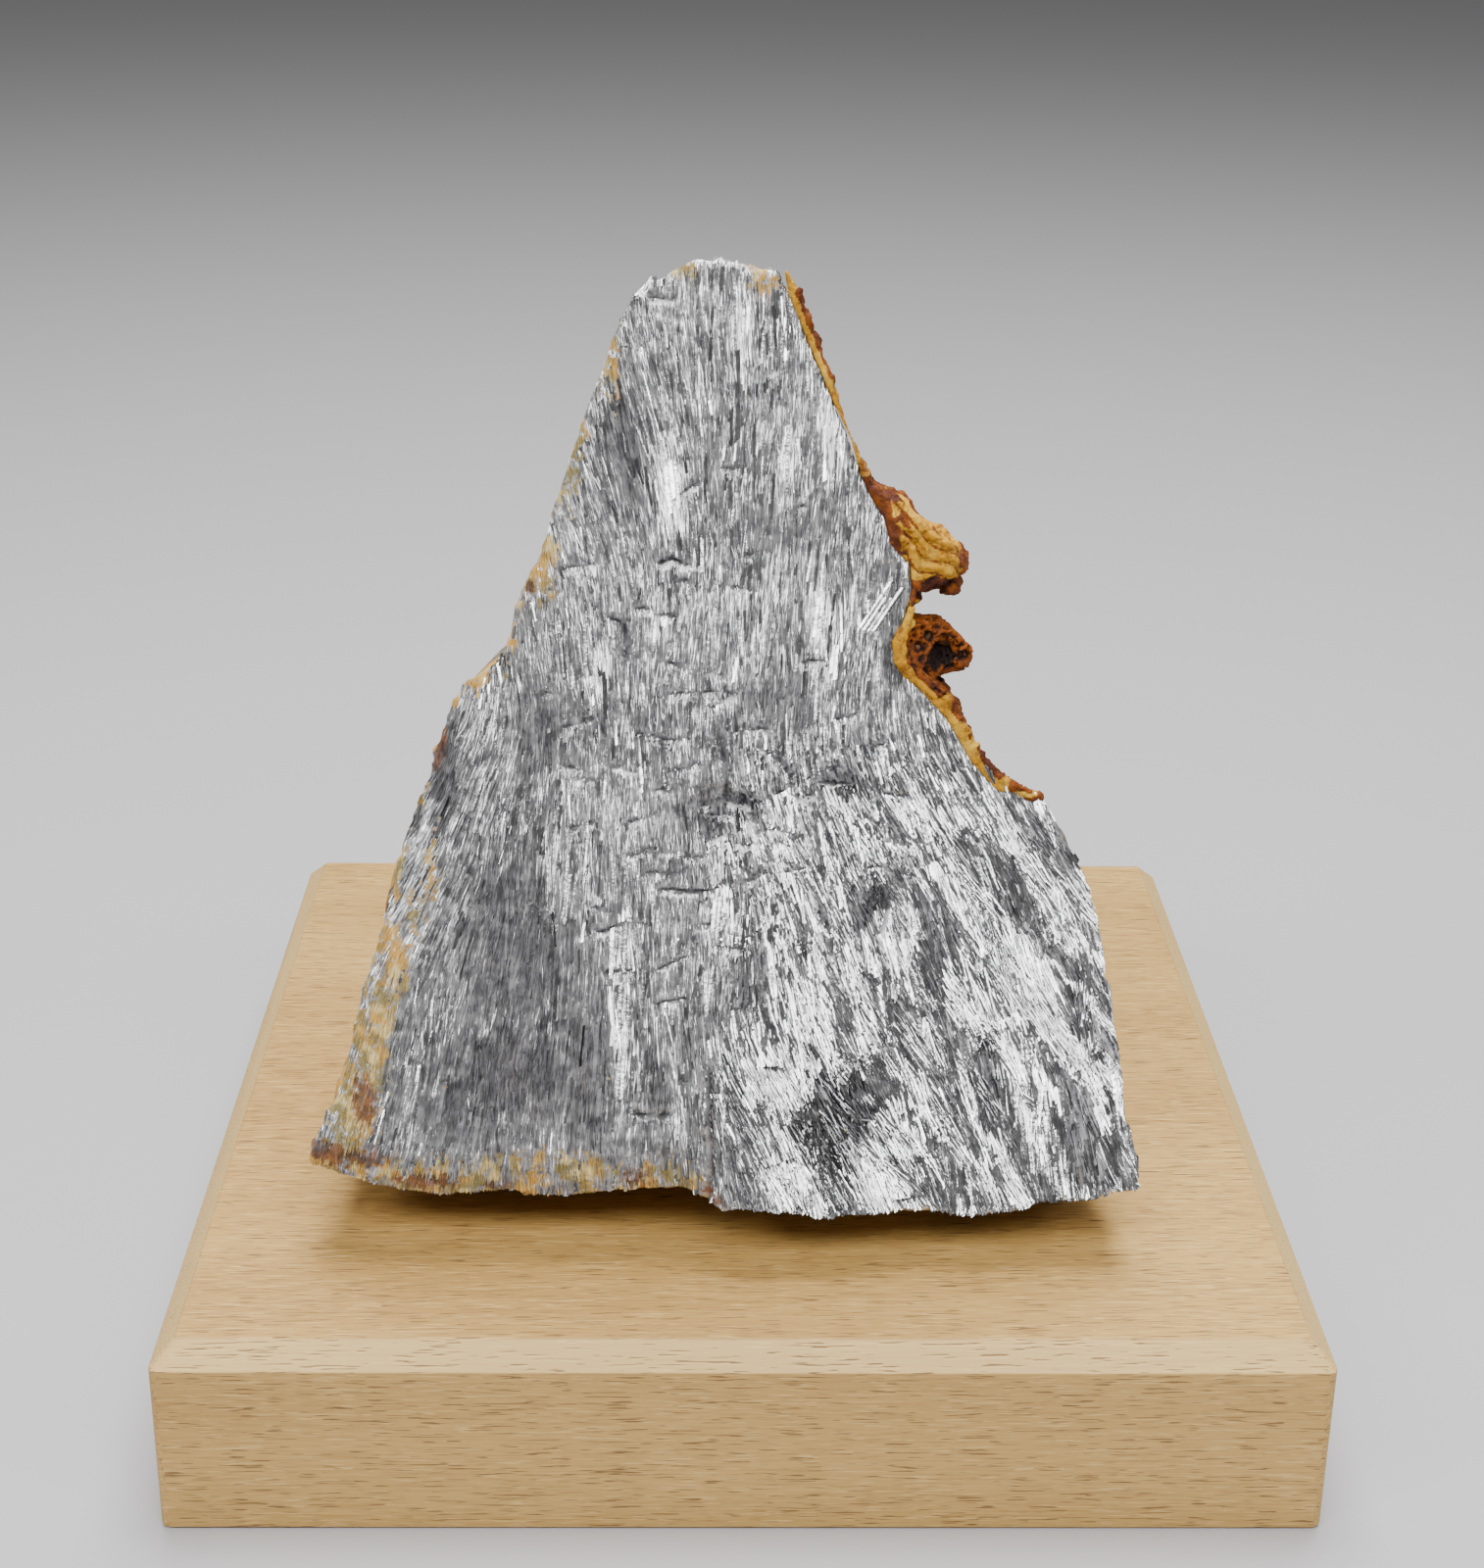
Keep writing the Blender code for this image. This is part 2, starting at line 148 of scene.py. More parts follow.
# %% Shader arithmetic
class Value:
    """One socket of a material's nodes, with arithmetic."""

    def __init__(self, look, socket):
        self.look = look
        self.socket = socket

    def maths(self, operation, *others):
        return self.look.node("ShaderNodeMath", {"operation": operation}, [self, *others])

    def __add__(self, other):
        return self.maths("ADD", other)

    __radd__ = __add__

    def __sub__(self, other):
        return self.maths("SUBTRACT", other)

    def __rsub__(self, other):
        return self.look.node("ShaderNodeMath", {"operation": "SUBTRACT"}, [other, self])

    def __mul__(self, other):
        return self.maths("MULTIPLY", other)

    __rmul__ = __mul__

    def at_most(self, other):
        return self.maths("MINIMUM", other)

    def at_least(self, other):
        return self.maths("MAXIMUM", other)

    def between(self, low, high):
        """0 below low, 1 above high, and smooth between them."""
        settings = {"interpolation_type": "SMOOTHSTEP"}
        inputs = {"Value": self, "From Min": low, "From Max": high}
        return self.look.node("ShaderNodeMapRange", settings, inputs)


class Look:
    """One material and the nodes that feed its Principled shader."""

    def __init__(self, name, **constants):
        self.material = bpy.data.materials.new(name)
        self.material.use_nodes = True
        self.tree = self.material.node_tree
        self.shader = self.tree.nodes["Principled BSDF"]
        for socket, value in constants.items():
            self.shader.inputs[socket.replace("_", " ")].default_value = value

    def put(self, socket, value):
        if isinstance(value, Value):
            self.tree.links.new(value.socket, socket)
        else:
            socket.default_value = value

    def node(self, kind, settings=None, inputs=(), output=0):
        made = self.tree.nodes.new(kind)
        for name, value in (settings or {}).items():
            setattr(made, name, value)
        pairs = inputs.items() if isinstance(inputs, dict) else enumerate(inputs)
        for key, value in pairs:
            self.put(made.inputs[key], value)
        return Value(self, made.outputs[output])

    def feed(self, **sockets):
        for name, value in sockets.items():
            self.put(self.shader.inputs[name.replace("_", " ")], value)

    def place(self):
        return self.node("ShaderNodeTexCoord", output="Object")

    def mottle(self, scale, detail, vector=None):
        """Soft noise from 0 to 1, by place if no other vector is given."""
        inputs = {"Vector": vector or self.place(), "Scale": scale, "Detail": detail}
        return self.node("ShaderNodeTexNoise", {}, inputs)

    def streaks(self, scales, detail, turn=(0, 0, 0), shift=(0, 0, 0)):
        """Noise that is long one way, with a scale for each axis, and shifted and turned first."""
        inputs = {"Vector": self.place(), "Location": shift, "Rotation": turn}
        inputs["Scale"] = tuple(1 / scale for scale in scales)
        vector = self.node("ShaderNodeMapping", {"vector_type": "TEXTURE"}, inputs)
        return self.mottle(1.0, detail, vector)

    def blend(self, share, first, second):
        settings = {"data_type": "RGBA"}
        inputs = {0: share, 6: first, 7: second}
        return self.node("ShaderNodeMix", settings, inputs, 2)

    def read(self, name):
        """A number that the mesh carries at each point."""
        return self.node("ShaderNodeAttribute", {"attribute_name": name}, output="Fac")

    def bump(self, height, strength, distance):
        inputs = {"Height": height, "Strength": strength, "Distance": distance}
        return self.node("ShaderNodeBump", {}, inputs)


def colour(red, green, blue):
    return (red, green, blue, 1.0)


print("shader arithmetic ready")


# %% [markdown]
# The floor is one plain pale sheet, large enough to fill the view. It is stage, not object.

# %% Floor
FLOOR_HALF, FLOOR_DROP = 4.0, 0.0002
FLOOR_GREY, FLOOR_DULL = colour(0.42, 0.41, 0.42), 0.9

sheet = bmesh.new()
bmesh.ops.create_grid(sheet, x_segments=1, y_segments=1, size=FLOOR_HALF)
floor_look = Look("pale_floor", Roughness=FLOOR_DULL)
floor_look.feed(Base_Color=FLOOR_GREY)
floor = link("floor", mesh_of("floor", sheet), floor_look)
floor.location.z = -FLOOR_DROP
print("floor", 2 * FLOOR_HALF, "m wide")


# %% [markdown]
# The ore's body is made from its solid. A voxel remesh turns the solid's large triangles into an
# even fine skin, which can then be pushed in and out by noise. The skin starts a little inside
# the solid, because fibres are laid on it afterwards and nothing may pass the solid's box.

# %% Fine skin of the ore
SKIN_VOXEL = 0.50 * MM
SKIN_INSET = 0.18 * MM
SMOOTH_SHARE, SMOOTH_TIMES = 0.5, 2


def evaluated_mesh(thing):
    graph = bpy.context.evaluated_depsgraph_get()
    return bpy.data.meshes.new_from_object(thing.evaluated_get(graph), depsgraph=graph)


def shade_smooth(mesh):
    mesh.polygons.foreach_set("use_smooth", [True] * len(mesh.polygons))


def points_of(mesh):
    flat = np.empty(len(mesh.vertices) * 3)
    mesh.vertices.foreach_get("co", flat)
    return flat.reshape(-1, 3)


def normals_of(mesh):
    flat = np.empty(len(mesh.vertices) * 3)
    mesh.vertex_normals.foreach_get("vector", flat)
    return flat.reshape(-1, 3)


def set_points(mesh, points):
    mesh.vertices.foreach_set("co", points.ravel())
    mesh.update()


def remeshed(name, source, voxel):
    """A copy of a mesh with an even fine skin."""
    work = link(name + "_work", source.copy())
    step = work.modifiers.new("skin", "REMESH")
    step.mode = "VOXEL"
    step.voxel_size = voxel
    smooth = work.modifiers.new("smooth", "SMOOTH")
    smooth.factor = SMOOTH_SHARE
    smooth.iterations = SMOOTH_TIMES
    mesh = evaluated_mesh(work)
    bpy.data.objects.remove(work)
    mesh.name = name
    return mesh


cad_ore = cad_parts[ORE_NODE].data
skin = remeshed("ore_skin", cad_ore, SKIN_VOXEL)
print("skin", len(skin.vertices), "points", len(skin.polygons), "faces")


# %% [markdown]
# The face has its own plane, which leans back. Places on it are given in millimetres across and
# up, and these helpers carry them between the plane and the object. The outline of the face is
# read from the solid, so that stains and fibres can tell how far they are from an edge.

# %% The face and its edges
FACE_LEAN = math.radians(8)
FACE_FOOT_Y, FACE_FOOT_Z = -36.8, 23.5
NEAR_FACE = 7.0
KNOBS_LEFT, KNOBS_FOOT, KNOBS_TOP = 12, 69, 79
TOP_LEFT, TOP_RIGHT = -10.0, 3.4
RIND_FROM, RIND_OVERLAP = 61, 0.4
FOOT_CLEAR = 0.5
REACH, TOP_REACH = 1.6, 1.0
FAR, NOT_PAST = 99, -9
FACE_OUT = np.array((0, -math.cos(FACE_LEAN), math.sin(FACE_LEAN)))


def face_y(up):
    return FACE_FOOT_Y + (up - FACE_FOOT_Z) * math.tan(FACE_LEAN)


def behind_face(points):
    """How far points in millimetres lie behind the plane of the face."""
    return points[:, 1] - face_y(points[:, 2])


solid_points = points_of(cad_ore) / MM
front_points = solid_points[behind_face(solid_points) < NEAR_FACE]
beyond_body = (front_points[:, 0] > KNOBS_LEFT) & (front_points[:, 2] > KNOBS_FOOT)
front_points = front_points[~beyond_body]
levels = np.arange(28.0, 104.0, 1.5)
columns = np.arange(-37.0, 34.5, 1.5)
top_columns = np.arange(TOP_LEFT, TOP_RIGHT, 1.0)


def extreme(axis, along, places, reach, pick):
    """The least or most of one axis among the front points near each place along another."""
    away = np.abs(front_points[:, along] - np.asarray(places)[:, None])
    return np.array([pick(front_points[near < reach][:, axis]) for near in away])


left_edge = extreme(0, 2, levels, REACH, np.min)
right_edge = extreme(0, 2, levels, REACH, np.max)
foot_edge = extreme(2, 0, columns, REACH, np.min)
top_edge = extreme(2, 0, top_columns, TOP_REACH, np.max)


def room(points):
    """How far points of the face are inside its nearest edge."""
    across, up = points[:, 0], points[:, 2]
    left = across - np.interp(up, levels, left_edge)
    right = np.interp(up, levels, right_edge) - across
    right = np.where(up > RIND_FROM, RIND_OVERLAP - past_right(points), right)
    foot = up - np.interp(across, columns, foot_edge) - FOOT_CLEAR
    top = np.interp(across, top_columns, top_edge) - up
    top = np.where((across > TOP_LEFT) & (across < TOP_RIGHT), top, FAR)
    return np.minimum(np.minimum(left, right), np.minimum(foot, top))


# Where the silver ends: on the left and above the foot it is stained, and on the right the yellow
# rind begins. Each line is a list of places, across and up. The foot's line holds as far as
# SILVER_FOOT_TO, and the right one from SILVER_RIGHT_FROM upwards.
SILVER_RIGHT_FROM, SILVER_FOOT_TO = 60.4, -3.3
SILVER_LEFT = [
    (-33.8, 24.0), (-33.4, 29.8), (-32.4, 36.0), (-31.9, 41.5), (-30.4, 46.0), (-29.4, 49.6),
    (-27.9, 56.4), (-25.9, 62.7), (-23.2, 68.4), (-20.4, 71.6), (-18.4, 76.0), (-16.4, 80.6),
    (-14.2, 88.0), (-12.0, 94.5), (-9.6, 100.6), (-8.6, 104.8),
]
SILVER_FOOT = [(-38, 29.4), (-33.9, 28.9), (-25.0, 28.6), (-17.0, 29.4), (-10.0, 28.6), (-3.4, 27.4)]
SILVER_RIGHT = [
    (24.2, 61.0), (22.2, 60.6), (20.9, 61.2), (18.6, 63.6), (16.5, 67.2), (14.1, 69.7), (12.7, 70.8),
    (11.9, 72.0), (11.7, 73.8), (12.5, 75.1), (13.0, 76.4), (13.3, 78.1), (13.1, 79.9), (11.4, 81.8),
    (10.9, 83.7), (9.7, 85.6), (8.8, 87.5), (8.0, 90.2), (6.6, 93.0), (5.8, 94.8), (5.0, 96.6),
    (4.4, 98.0), (3.6, 99.8), (2.8, 101.6), (2.2, 104.8),
]


def line_at(line, places, along):
    """One axis of a line, read at places along the other."""
    table = sorted((p[along], p[1 - along]) for p in line)
    return np.interp(places, [t[0] for t in table], [t[1] for t in table])


def past_right(points):
    """How far points lie beyond the silver's right end."""
    beyond = points[:, 0] - line_at(SILVER_RIGHT, points[:, 2], 1)
    return np.where(points[:, 2] > SILVER_RIGHT_FROM, beyond, NOT_PAST)


def past_left(points):
    return line_at(SILVER_LEFT, points[:, 2], 1) - points[:, 0]


def past_foot(points):
    below = line_at(SILVER_FOOT, points[:, 0], 0) - points[:, 2]
    return np.where(points[:, 0] < SILVER_FOOT_TO, below, NOT_PAST)


print("face edges at", len(levels), "levels and", len(columns), "columns")


# %% [markdown]
# Numbers that vary over the ore are worked out once for each point and stored on the mesh:
# how yellow, how brown, and how dark, where dark is painted shade with some darker tone at
# random. The shaders read them. The noise is smooth and seeded by place alone, so every run
# gives the same stone.

# %% Noise and stains
def noise_at(points, size, offset=0.0, octaves=1):
    """Smooth noise from -1 to 1, with features of a size in millimetres. Size may differ by axis."""
    scaled = points / np.asarray(size, float) + offset
    total = np.zeros(len(points))
    for octave in range(octaves):
        share = 0.5 ** octave
        total += share * np.array([noise.noise(Vector(p)) for p in scaled * 2 ** octave])
    return total


def ramp(values, low, high):
    share = np.clip((values - low) / (high - low), 0, 1)
    return share * share * (3 - 2 * share)


# Each stain on the face is a spot: across, up, half width, half height, strength.
YELLOW_SPOTS = [
    (-17.4, 80.0, 1.8, 3.6, 0.9), (-15.8, 86.0, 1.4, 3.2, 0.8), (-23.4, 70.2, 2.6, 1.2, 1.0),
    (-6.4, 103.4, 1.8, 0.9, 0.75), (0.2, 103.0, 1.8, 1.6, 0.66), (-14.4, 90.0, 1.3, 5.0, 0.75),
    (-11.8, 97.0, 1.2, 4.0, 0.7), (-20.4, 73.6, 1.2, 2.4, 0.85), (-26.8, 53.5, 0.9, 2.5, 0.66),
    (-28.2, 49.8, 1.1, 2.5, 0.75), (-29.8, 46.0, 1.4, 3.0, 0.9), (-31.0, 42.0, 1.4, 3.2, 0.95),
    (-32.2, 37.0, 1.7, 3.6, 1.0), (-34.0, 32.0, 2.2, 3.6, 1.0), (27.6, 57.0, 0.9, 1.2, 1.0),
    (30.0, 50.6, 0.7, 1.0, 0.8), (33.9, 34.0, 0.7, 2.0, 0.7),
]
BROWN_SPOTS = [
    (-33.0, 28.0, 2.6, 0.9, 0.9), (-22.0, 25.0, 2.0, 0.6, 0.7), (-2.6, 25.4, 1.2, 0.6, 0.8),
    (-36.2, 28.0, 2.2, 1.3, 1.0), (-32.8, 33.6, 1.3, 2.6, 0.7), (-17.9, 77.8, 0.7, 1.2, 0.6),
    (-28.0, 25.6, 3.5, 0.9, 0.7), (-9.5, 26.0, 1.6, 0.8, 0.7), (33.6, 33.4, 0.6, 2.6, 0.9),
    (-31.0, 45.0, 0.5, 2.0, 0.5),
]
STAIN_WIDE = 1.1


def from_place(points, place, size=(1, 1)):
    """How far points are from a place on the face, in its own half widths and half heights."""
    return np.hypot((points[:, 0] - place[0]) / size[0], (points[:, 2] - place[1]) / size[1])


def spots(points, places, roughness):
    """The strongest of a list of soft spots at each point, with a ragged edge."""
    strongest = np.zeros(len(points))
    ragged = roughness * noise_at(points, 1.3, 5.0, 2)
    for across, up, wide, tall, strength in places:
        away = from_place(points, (across, up), (wide, tall))
        strongest = np.maximum(strongest, strength * ramp(1.25 - away + ragged, 0, 0.7))
    return strongest


def weathering(points):
    """1 on the sides, the back and the underside, and 0 on the face."""
    return ramp(behind_face(points) + 0.8 * noise_at(points, 3.0, 2.0), 2.6, 5.0)


def edge_stain(points):
    """How strongly the left side and the foot are stained, beyond the end of the silver."""
    ragged = 0.7 * noise_at(points, (0.9, 3.0, 2.6), 9.0, 2)
    left = ramp(past_left(points) + ragged, 0.0, STAIN_WIDE)
    foot = ramp(past_foot(points) + ragged, 0.0, STAIN_WIDE)
    mottled = ramp(noise_at(points, (1.0, 3.0, 2.4), 4.0, 2), -0.35, 0.15)
    return np.maximum(left * (0.30 + 0.70 * mottled), foot * (0.30 + 0.70 * mottled))


def stains(points):
    """How yellow and how brown each point is."""
    side = weathering(points)
    patch = ramp(noise_at(points, (5.0, 5.0, 12.0), 3.0, 3), -0.25, 0.35)
    yellow = np.maximum(spots(points, YELLOW_SPOTS, 0.55), edge_stain(points))
    yellow = np.maximum(yellow, ramp(past_right(points), -0.05, 0.2))
    yellow = np.maximum(yellow, side * (0.35 + 0.65 * patch))
    crust = ramp(noise_at(points, (2.6, 2.6, 7.0), 7.0, 3), 0.0, 0.5) * side
    brown = np.maximum(spots(points, BROWN_SPOTS, 0.5), 0.85 * crust)
    by_knobs = (points[:, 2] > KNOBS_FOOT) * (points[:, 2] < KNOBS_TOP)
    behind_sponge = ramp(past_right(points), 0.8, 1.4) * by_knobs
    brown = np.maximum(brown, behind_sponge)
    return np.clip(yellow, 0, 1), np.clip(brown, 0, 1)


def store(mesh, **numbers):
    """Writes numbers for each point onto a mesh, under the names that the finishes read."""
    for name, values in numbers.items():
        attribute = mesh.attributes.new(name, "FLOAT", "POINT")
        attribute.data.foreach_set("value", np.asarray(values, np.float32))


print("yellow spots", len(YELLOW_SPOTS), "brown spots", len(BROWN_SPOTS))


# %% [markdown]
# Fibres follow a flow over the face. It is known at a few places, as a lean from upright in
# degrees, and between them it is a mean weighted by nearness. Where the fibres turn coarse they
# also lean together in bundles, so each bundle adds a turn of its own.

# %% The flow of the fibres
FLOW = [
    (-5, 103, 0), (-9, 95, 13), (-13, 85, 17), (2, 90, -3), (8, 84, -5), (-17, 72, 6), (-5, 75, -4),
    (7, 70, -6), (-24, 62, -20), (-28, 52, -28), (-18, 55, -3), (-24, 40, -10), (-33, 33, -14),
    (-12, 35, -5), (-6, 55, 1), (-2, 45, -4), (4, 55, 20), (12, 60, 26), (20, 55, 31), (27, 52, 28),
    (8, 45, 20), (16, 42, 27), (26, 40, 21), (32, 36, 14), (2, 34, 24), (10, 30, 33), (20, 28, 22),
    (31, 28, 15), (-8, 28, 0),
]
COARSE_LEFT, COARSE_RIGHT = -6.0, 8.0
COARSE_FOOT, COARSE_TOP = 52.0, 70.0


def flow_lean(across, up):
    """The lean of the fibres in radians at places on the face."""
    total = np.zeros(len(across))
    weights = np.zeros(len(across))
    for x, z, lean in FLOW:
        weight = 1 / ((across - x) ** 2 + (up - z) ** 2 + 9.0) ** 1.5
        total += weight * math.radians(lean)
        weights += weight
    return total / weights


def coarseness(across, up):
    return ramp(across, COARSE_LEFT, COARSE_RIGHT) * (1 - ramp(up, COARSE_FOOT, COARSE_TOP))


print("lean at the lower right", round(math.degrees(flow_lean(np.array([20.0]), np.array([40.0]))[0]), 1))


# %% [markdown]
# Short cracks cross the face, where the felt of fibres has parted. Each is a line of a few
# points. The skin is pressed in along them and painted near black there, as painted shade, and
# the fibres keep clear of them. Small level ones are scattered over the middle, drawn from a
# fixed seed.

# %% Cracks
CRACKS = [
    [(-7.4, 80.2), (-6.4, 80.5), (-5.2, 79.9)],
    [(-11.4, 75.6), (-10.4, 75.0), (-9.9, 73.4), (-10.2, 72.0)],
    [(-2.1, 66.0), (-2.0, 63.4), (-1.8, 60.4)],
    [(-3.8, 59.4), (-2.0, 59.7), (-0.4, 59.3)],
    [(-0.6, 60.2), (0.2, 58.6), (0.9, 57.2)],
    [(5.4, 61.6), (7.2, 61.2), (8.8, 61.5)],
    [(1.0, 64.6), (2.6, 63.8), (3.6, 62.2)],
    [(-13.0, 49.0), (-12.1, 48.7), (-11.0, 49.1)],
    [(-7.4, 52.4), (-4.8, 52.1), (-2.6, 52.5)],
    [(6.2, 50.4), (7.0, 48.6), (7.2, 46.6)],
    [(-3.1, 37.0), (-3.3, 33.0), (-3.0, 28.6), (-3.3, 24.8)],
    [(-9.6, 32.4), (-7.8, 32.0), (-6.4, 32.5)],
    [(11.6, 52.2), (12.2, 50.2), (11.4, 48.4)],
]
CRACK_HALF = 0.30
CRACK_DEPTH = 0.55
SMALL_CRACKS, SMALL_NARROWER = 80, 0.10
SMALL_ACROSS, SMALL_UP = (-1.0, 7.5), (58.0, 13.0)
SMALL_REACH, SMALL_RISE = (0.4, 1.3), 0.25
long_cracks = len(CRACKS)
crack_draw = np.random.default_rng(3)
for _ in range(SMALL_CRACKS):
    across, up = crack_draw.normal(*SMALL_ACROSS), crack_draw.normal(*SMALL_UP)
    reach, rise = crack_draw.uniform(*SMALL_REACH), crack_draw.normal(0, SMALL_RISE)
    CRACKS.append([(across - reach, up - rise), (across + reach, up + rise)])


def from_cracks(points):
    """How far each point of the face is from the nearest crack. Small ones count as narrower."""
    flat = points[:, [0, 2]]
    nearest = np.full(len(points), float(FAR))
    for number, crack in enumerate(CRACKS):
        extra = SMALL_NARROWER if number >= long_cracks else 0
        for start, end in zip(crack, crack[1:]):
            a, b = np.array(start), np.array(end)
            share = np.clip(((flat - a) @ (b - a)) / ((b - a) @ (b - a)), 0, 1)
            away = np.linalg.norm(flat - a - share[:, None] * (b - a), axis=1) + extra
            nearest = np.minimum(nearest, away)
    return nearest


print("cracks", len(CRACKS))


# %% [markdown]
# Now the skin is shaped. On the face it gets fine ridges that run with the fibres. On the sides
# and the back it gets rough chunks and pits, as broken and weathered ore has.

# %% Shape the skin
RIDGE_WIDE, RIDGE_LONG, RIDGE_HEIGHT = 0.9, 7.0, 0.16
LUMP_HEIGHT, GRAIN_HEIGHT = 0.55, 0.22
RIND_DEEP, RIND_INSET = 13.0, 0.3
CREST_FROM, CREST_TO = 100.0, 103.0
CREST_LOSS, CREST_CHIPS = 0.30, 0.55
FOOT_LIFT = 0.05


def crest_drop(points):
    """How far the top of the peak is chipped down."""
    chips = noise_at(points, (1.1, 1.6, 50.0), 2.0, 2)
    return ramp(points[:, 2], CREST_FROM, CREST_TO) * np.clip(CREST_LOSS + CREST_CHIPS * chips, 0, 1)


def along_fibres(points):
    """Places turned so that the first axis runs across the fibres and the third along them."""
    lean = flow_lean(points[:, 0], points[:, 2])
    across = points[:, 0] * np.cos(lean) + points[:, 2] * np.sin(lean)
    along = points[:, 2] * np.cos(lean) - points[:, 0] * np.sin(lean)
    return np.column_stack((across, points[:, 1], along))


def shape_skin(mesh):
    points = points_of(mesh) / MM
    normals = normals_of(mesh)
    side = weathering(points)
    ridges = noise_at(along_fibres(points), (RIDGE_WIDE, 8.0, RIDGE_LONG), 1.0, 2)
    lumps = noise_at(points, 2.6, 4.0, 2)
    grains = noise_at(points, 0.9, 6.0, 1)
    crack = np.exp(-(from_cracks(points) / CRACK_HALF) ** 2) * (1 - side)
    push = (1 - side) * RIDGE_HEIGHT * ridges - CRACK_DEPTH * crack
    push += side * (LUMP_HEIGHT * np.minimum(lumps, 0) + GRAIN_HEIGHT * np.minimum(grains, 0))
    under_rind = ramp(past_right(points), -0.1, 0.1) * (behind_face(points) < RIND_DEEP)
    points += normals * (push - SKIN_INSET / MM - RIND_INSET * under_rind)[:, None]
    points[:, 2] -= crest_drop(points)
    points[:, 2] = np.maximum(points[:, 2], ore_low.z / MM + FOOT_LIFT)
    set_points(mesh, points * MM)
    return points, side, crack


skin_points, skin_side, skin_crack = shape_skin(skin)
yellow, brown = stains(skin_points)
# The cracks are stored as painted shade, which the finish turns near black.
store(skin, yellow=yellow, brown=brown, dark=np.clip(skin_crack, 0, 1), side=skin_side)
print("skin shaped", round(float(yellow.mean()), 3), "yellow", round(float(brown.mean()), 3), "brown")


# %% [markdown]
# One finish serves the skin and the fibres, so that a stain runs over both. Clean ore is metal:
# grey, with a broad sheen. Where it has altered to bindheimite or limonite it is an earth, so the
# metal fades out with the stain, and the surface turns rough.

# %% Ore finish
SILVER_DARK, SILVER_PALE = colour(0.36, 0.36, 0.37), colour(0.74, 0.74, 0.75)
SILVER_DULL, SILVER_SHADE_AND_DARK = colour(0.20, 0.20, 0.205), colour(0.03, 0.03, 0.032)
OCHRE_DARK, OCHRE_PALE = colour(0.21, 0.16, 0.04), colour(0.50, 0.26, 0.025)
OCHRE_CREAM = colour(0.62, 0.46, 0.16)
RUST_DARK, RUST_PALE = colour(0.045, 0.016, 0.007), colour(0.20, 0.065, 0.016)


def ore_finish(name, shine, bump_height):
    """shine is the roughness of clean ore, and bump_height is in metres."""
    look = Look(name)
    speck = look.mottle(900, 3)
    patch = look.mottle(160, 3)
    silver = look.blend(speck.between(0.35, 0.7), SILVER_DARK, SILVER_PALE)
    side = look.read("side")
    silver = look.blend(side * 0.7, silver, SILVER_DULL)
    # Painted shade: cracks and shaded patches turn near black, and some fibres are darker at random.
    silver = look.blend(look.read("dark"), silver, SILVER_SHADE_AND_DARK)
    ochre = look.blend(look.mottle(380, 3).between(0.38, 0.64), OCHRE_DARK, OCHRE_PALE)
    ochre = look.blend(look.mottle(620, 2).between(0.5, 0.66), ochre, OCHRE_CREAM)
    rust = look.blend(speck.between(0.35, 0.65), RUST_DARK, RUST_PALE)
    ragged = (look.mottle(1300, 2) - 0.5) * 2.0
    yellow_share = (look.read("yellow") + ragged).between(0.42, 0.72)
    brown_share = (look.read("brown") + ragged * 0.6).between(0.35, 0.65)
    bare = look.mottle(1900, 2).between(0.58, 0.68)
    yellow_share = yellow_share * (1 - bare * 0.7)
    tint = look.blend(yellow_share * 0.95, silver, ochre)
    tint = look.blend(brown_share * 0.9, tint, rust)
    earth = yellow_share.at_least(brown_share)
    look.feed(
        Base_Color=tint,
        Metallic=1 - earth,
        Roughness=(earth * 0.45 + patch * 0.2 + side * 0.2 + shine).at_most(0.95),
        Normal=look.bump(look.mottle(2600, 3), 0.5, bump_height),
    )
    return look


skin_look = ore_finish("ore_skin_finish", 0.30, 0.20 * MM)
fibre_look = ore_finish("ore_fibre_finish", 0.22, 0.05 * MM)
blade_look = ore_finish("ore_blade_finish", 0.10, 0.05 * MM)
body = link("ore_body", skin, skin_look)
shade_smooth(body.data)
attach(body, "root")
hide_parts(ORE_NODE)
print("body has", len(body.data.polygons), "faces")


# %% [markdown]
# What makes a patch of felted fibres flash is that they all nod towards a lamp together. So the
# sheen of each fibre nods and rolls with its bundle, and with the gleams and shades that the real
# face shows. The shades are also painted dark into the fibres' colour, as painted shade. The nods,
# in degrees, set how bright each part of the face is, and they are larger at the foot, which is
# seen more from above.

# %% Sheen of the fibres
# Each gleam or shade is a spot, as the stains are: across, up, half width, half height, strength.
GLEAMS = [
    (-6.3, 86.0, 1.1, 3.6, 1.0), (-0.8, 99.2, 0.8, 3.4, 1.0), (-12.6, 70.9, 1.2, 1.6, 1.0),
    (5.8, 74.5, 1.0, 5.5, 0.9), (-10.7, 40.0, 0.9, 8.0, 1.0), (-2.7, 50.5, 1.1, 5.0, 0.9),
    (-7.6, 76.0, 1.0, 3.0, 0.7), (3.6, 88.0, 1.6, 3.4, 0.6), (6.6, 90.0, 1.2, 3.6, 0.7),
    (-5.9, 33.0, 1.0, 4.0, 0.6), (21.0, 47.0, 2.0, 4.0, 0.8), (22.5, 41.0, 2.4, 4.5, 0.9),
    (15.2, 38.5, 0.9, 4.5, 1.0), (5.2, 40.0, 1.0, 4.0, 0.9), (14.6, 57.0, 1.6, 5.0, 0.8),
    (19.6, 54.0, 1.4, 4.4, 0.8), (26.0, 49.0, 1.6, 5.0, 0.8), (28.2, 43.0, 1.4, 5.0, 0.7),
    (12.6, 28.2, 2.8, 1.8, 0.6), (20.0, 31.0, 1.6, 3.4, 0.8), (25.0, 34.0, 1.8, 4.0, 0.7),
    (0.9, 37.0, 1.4, 3.6, 0.6), (8.0, 54.5, 1.2, 3.0, 0.6), (-16.6, 52.0, 0.8, 4.0, 0.4),
]
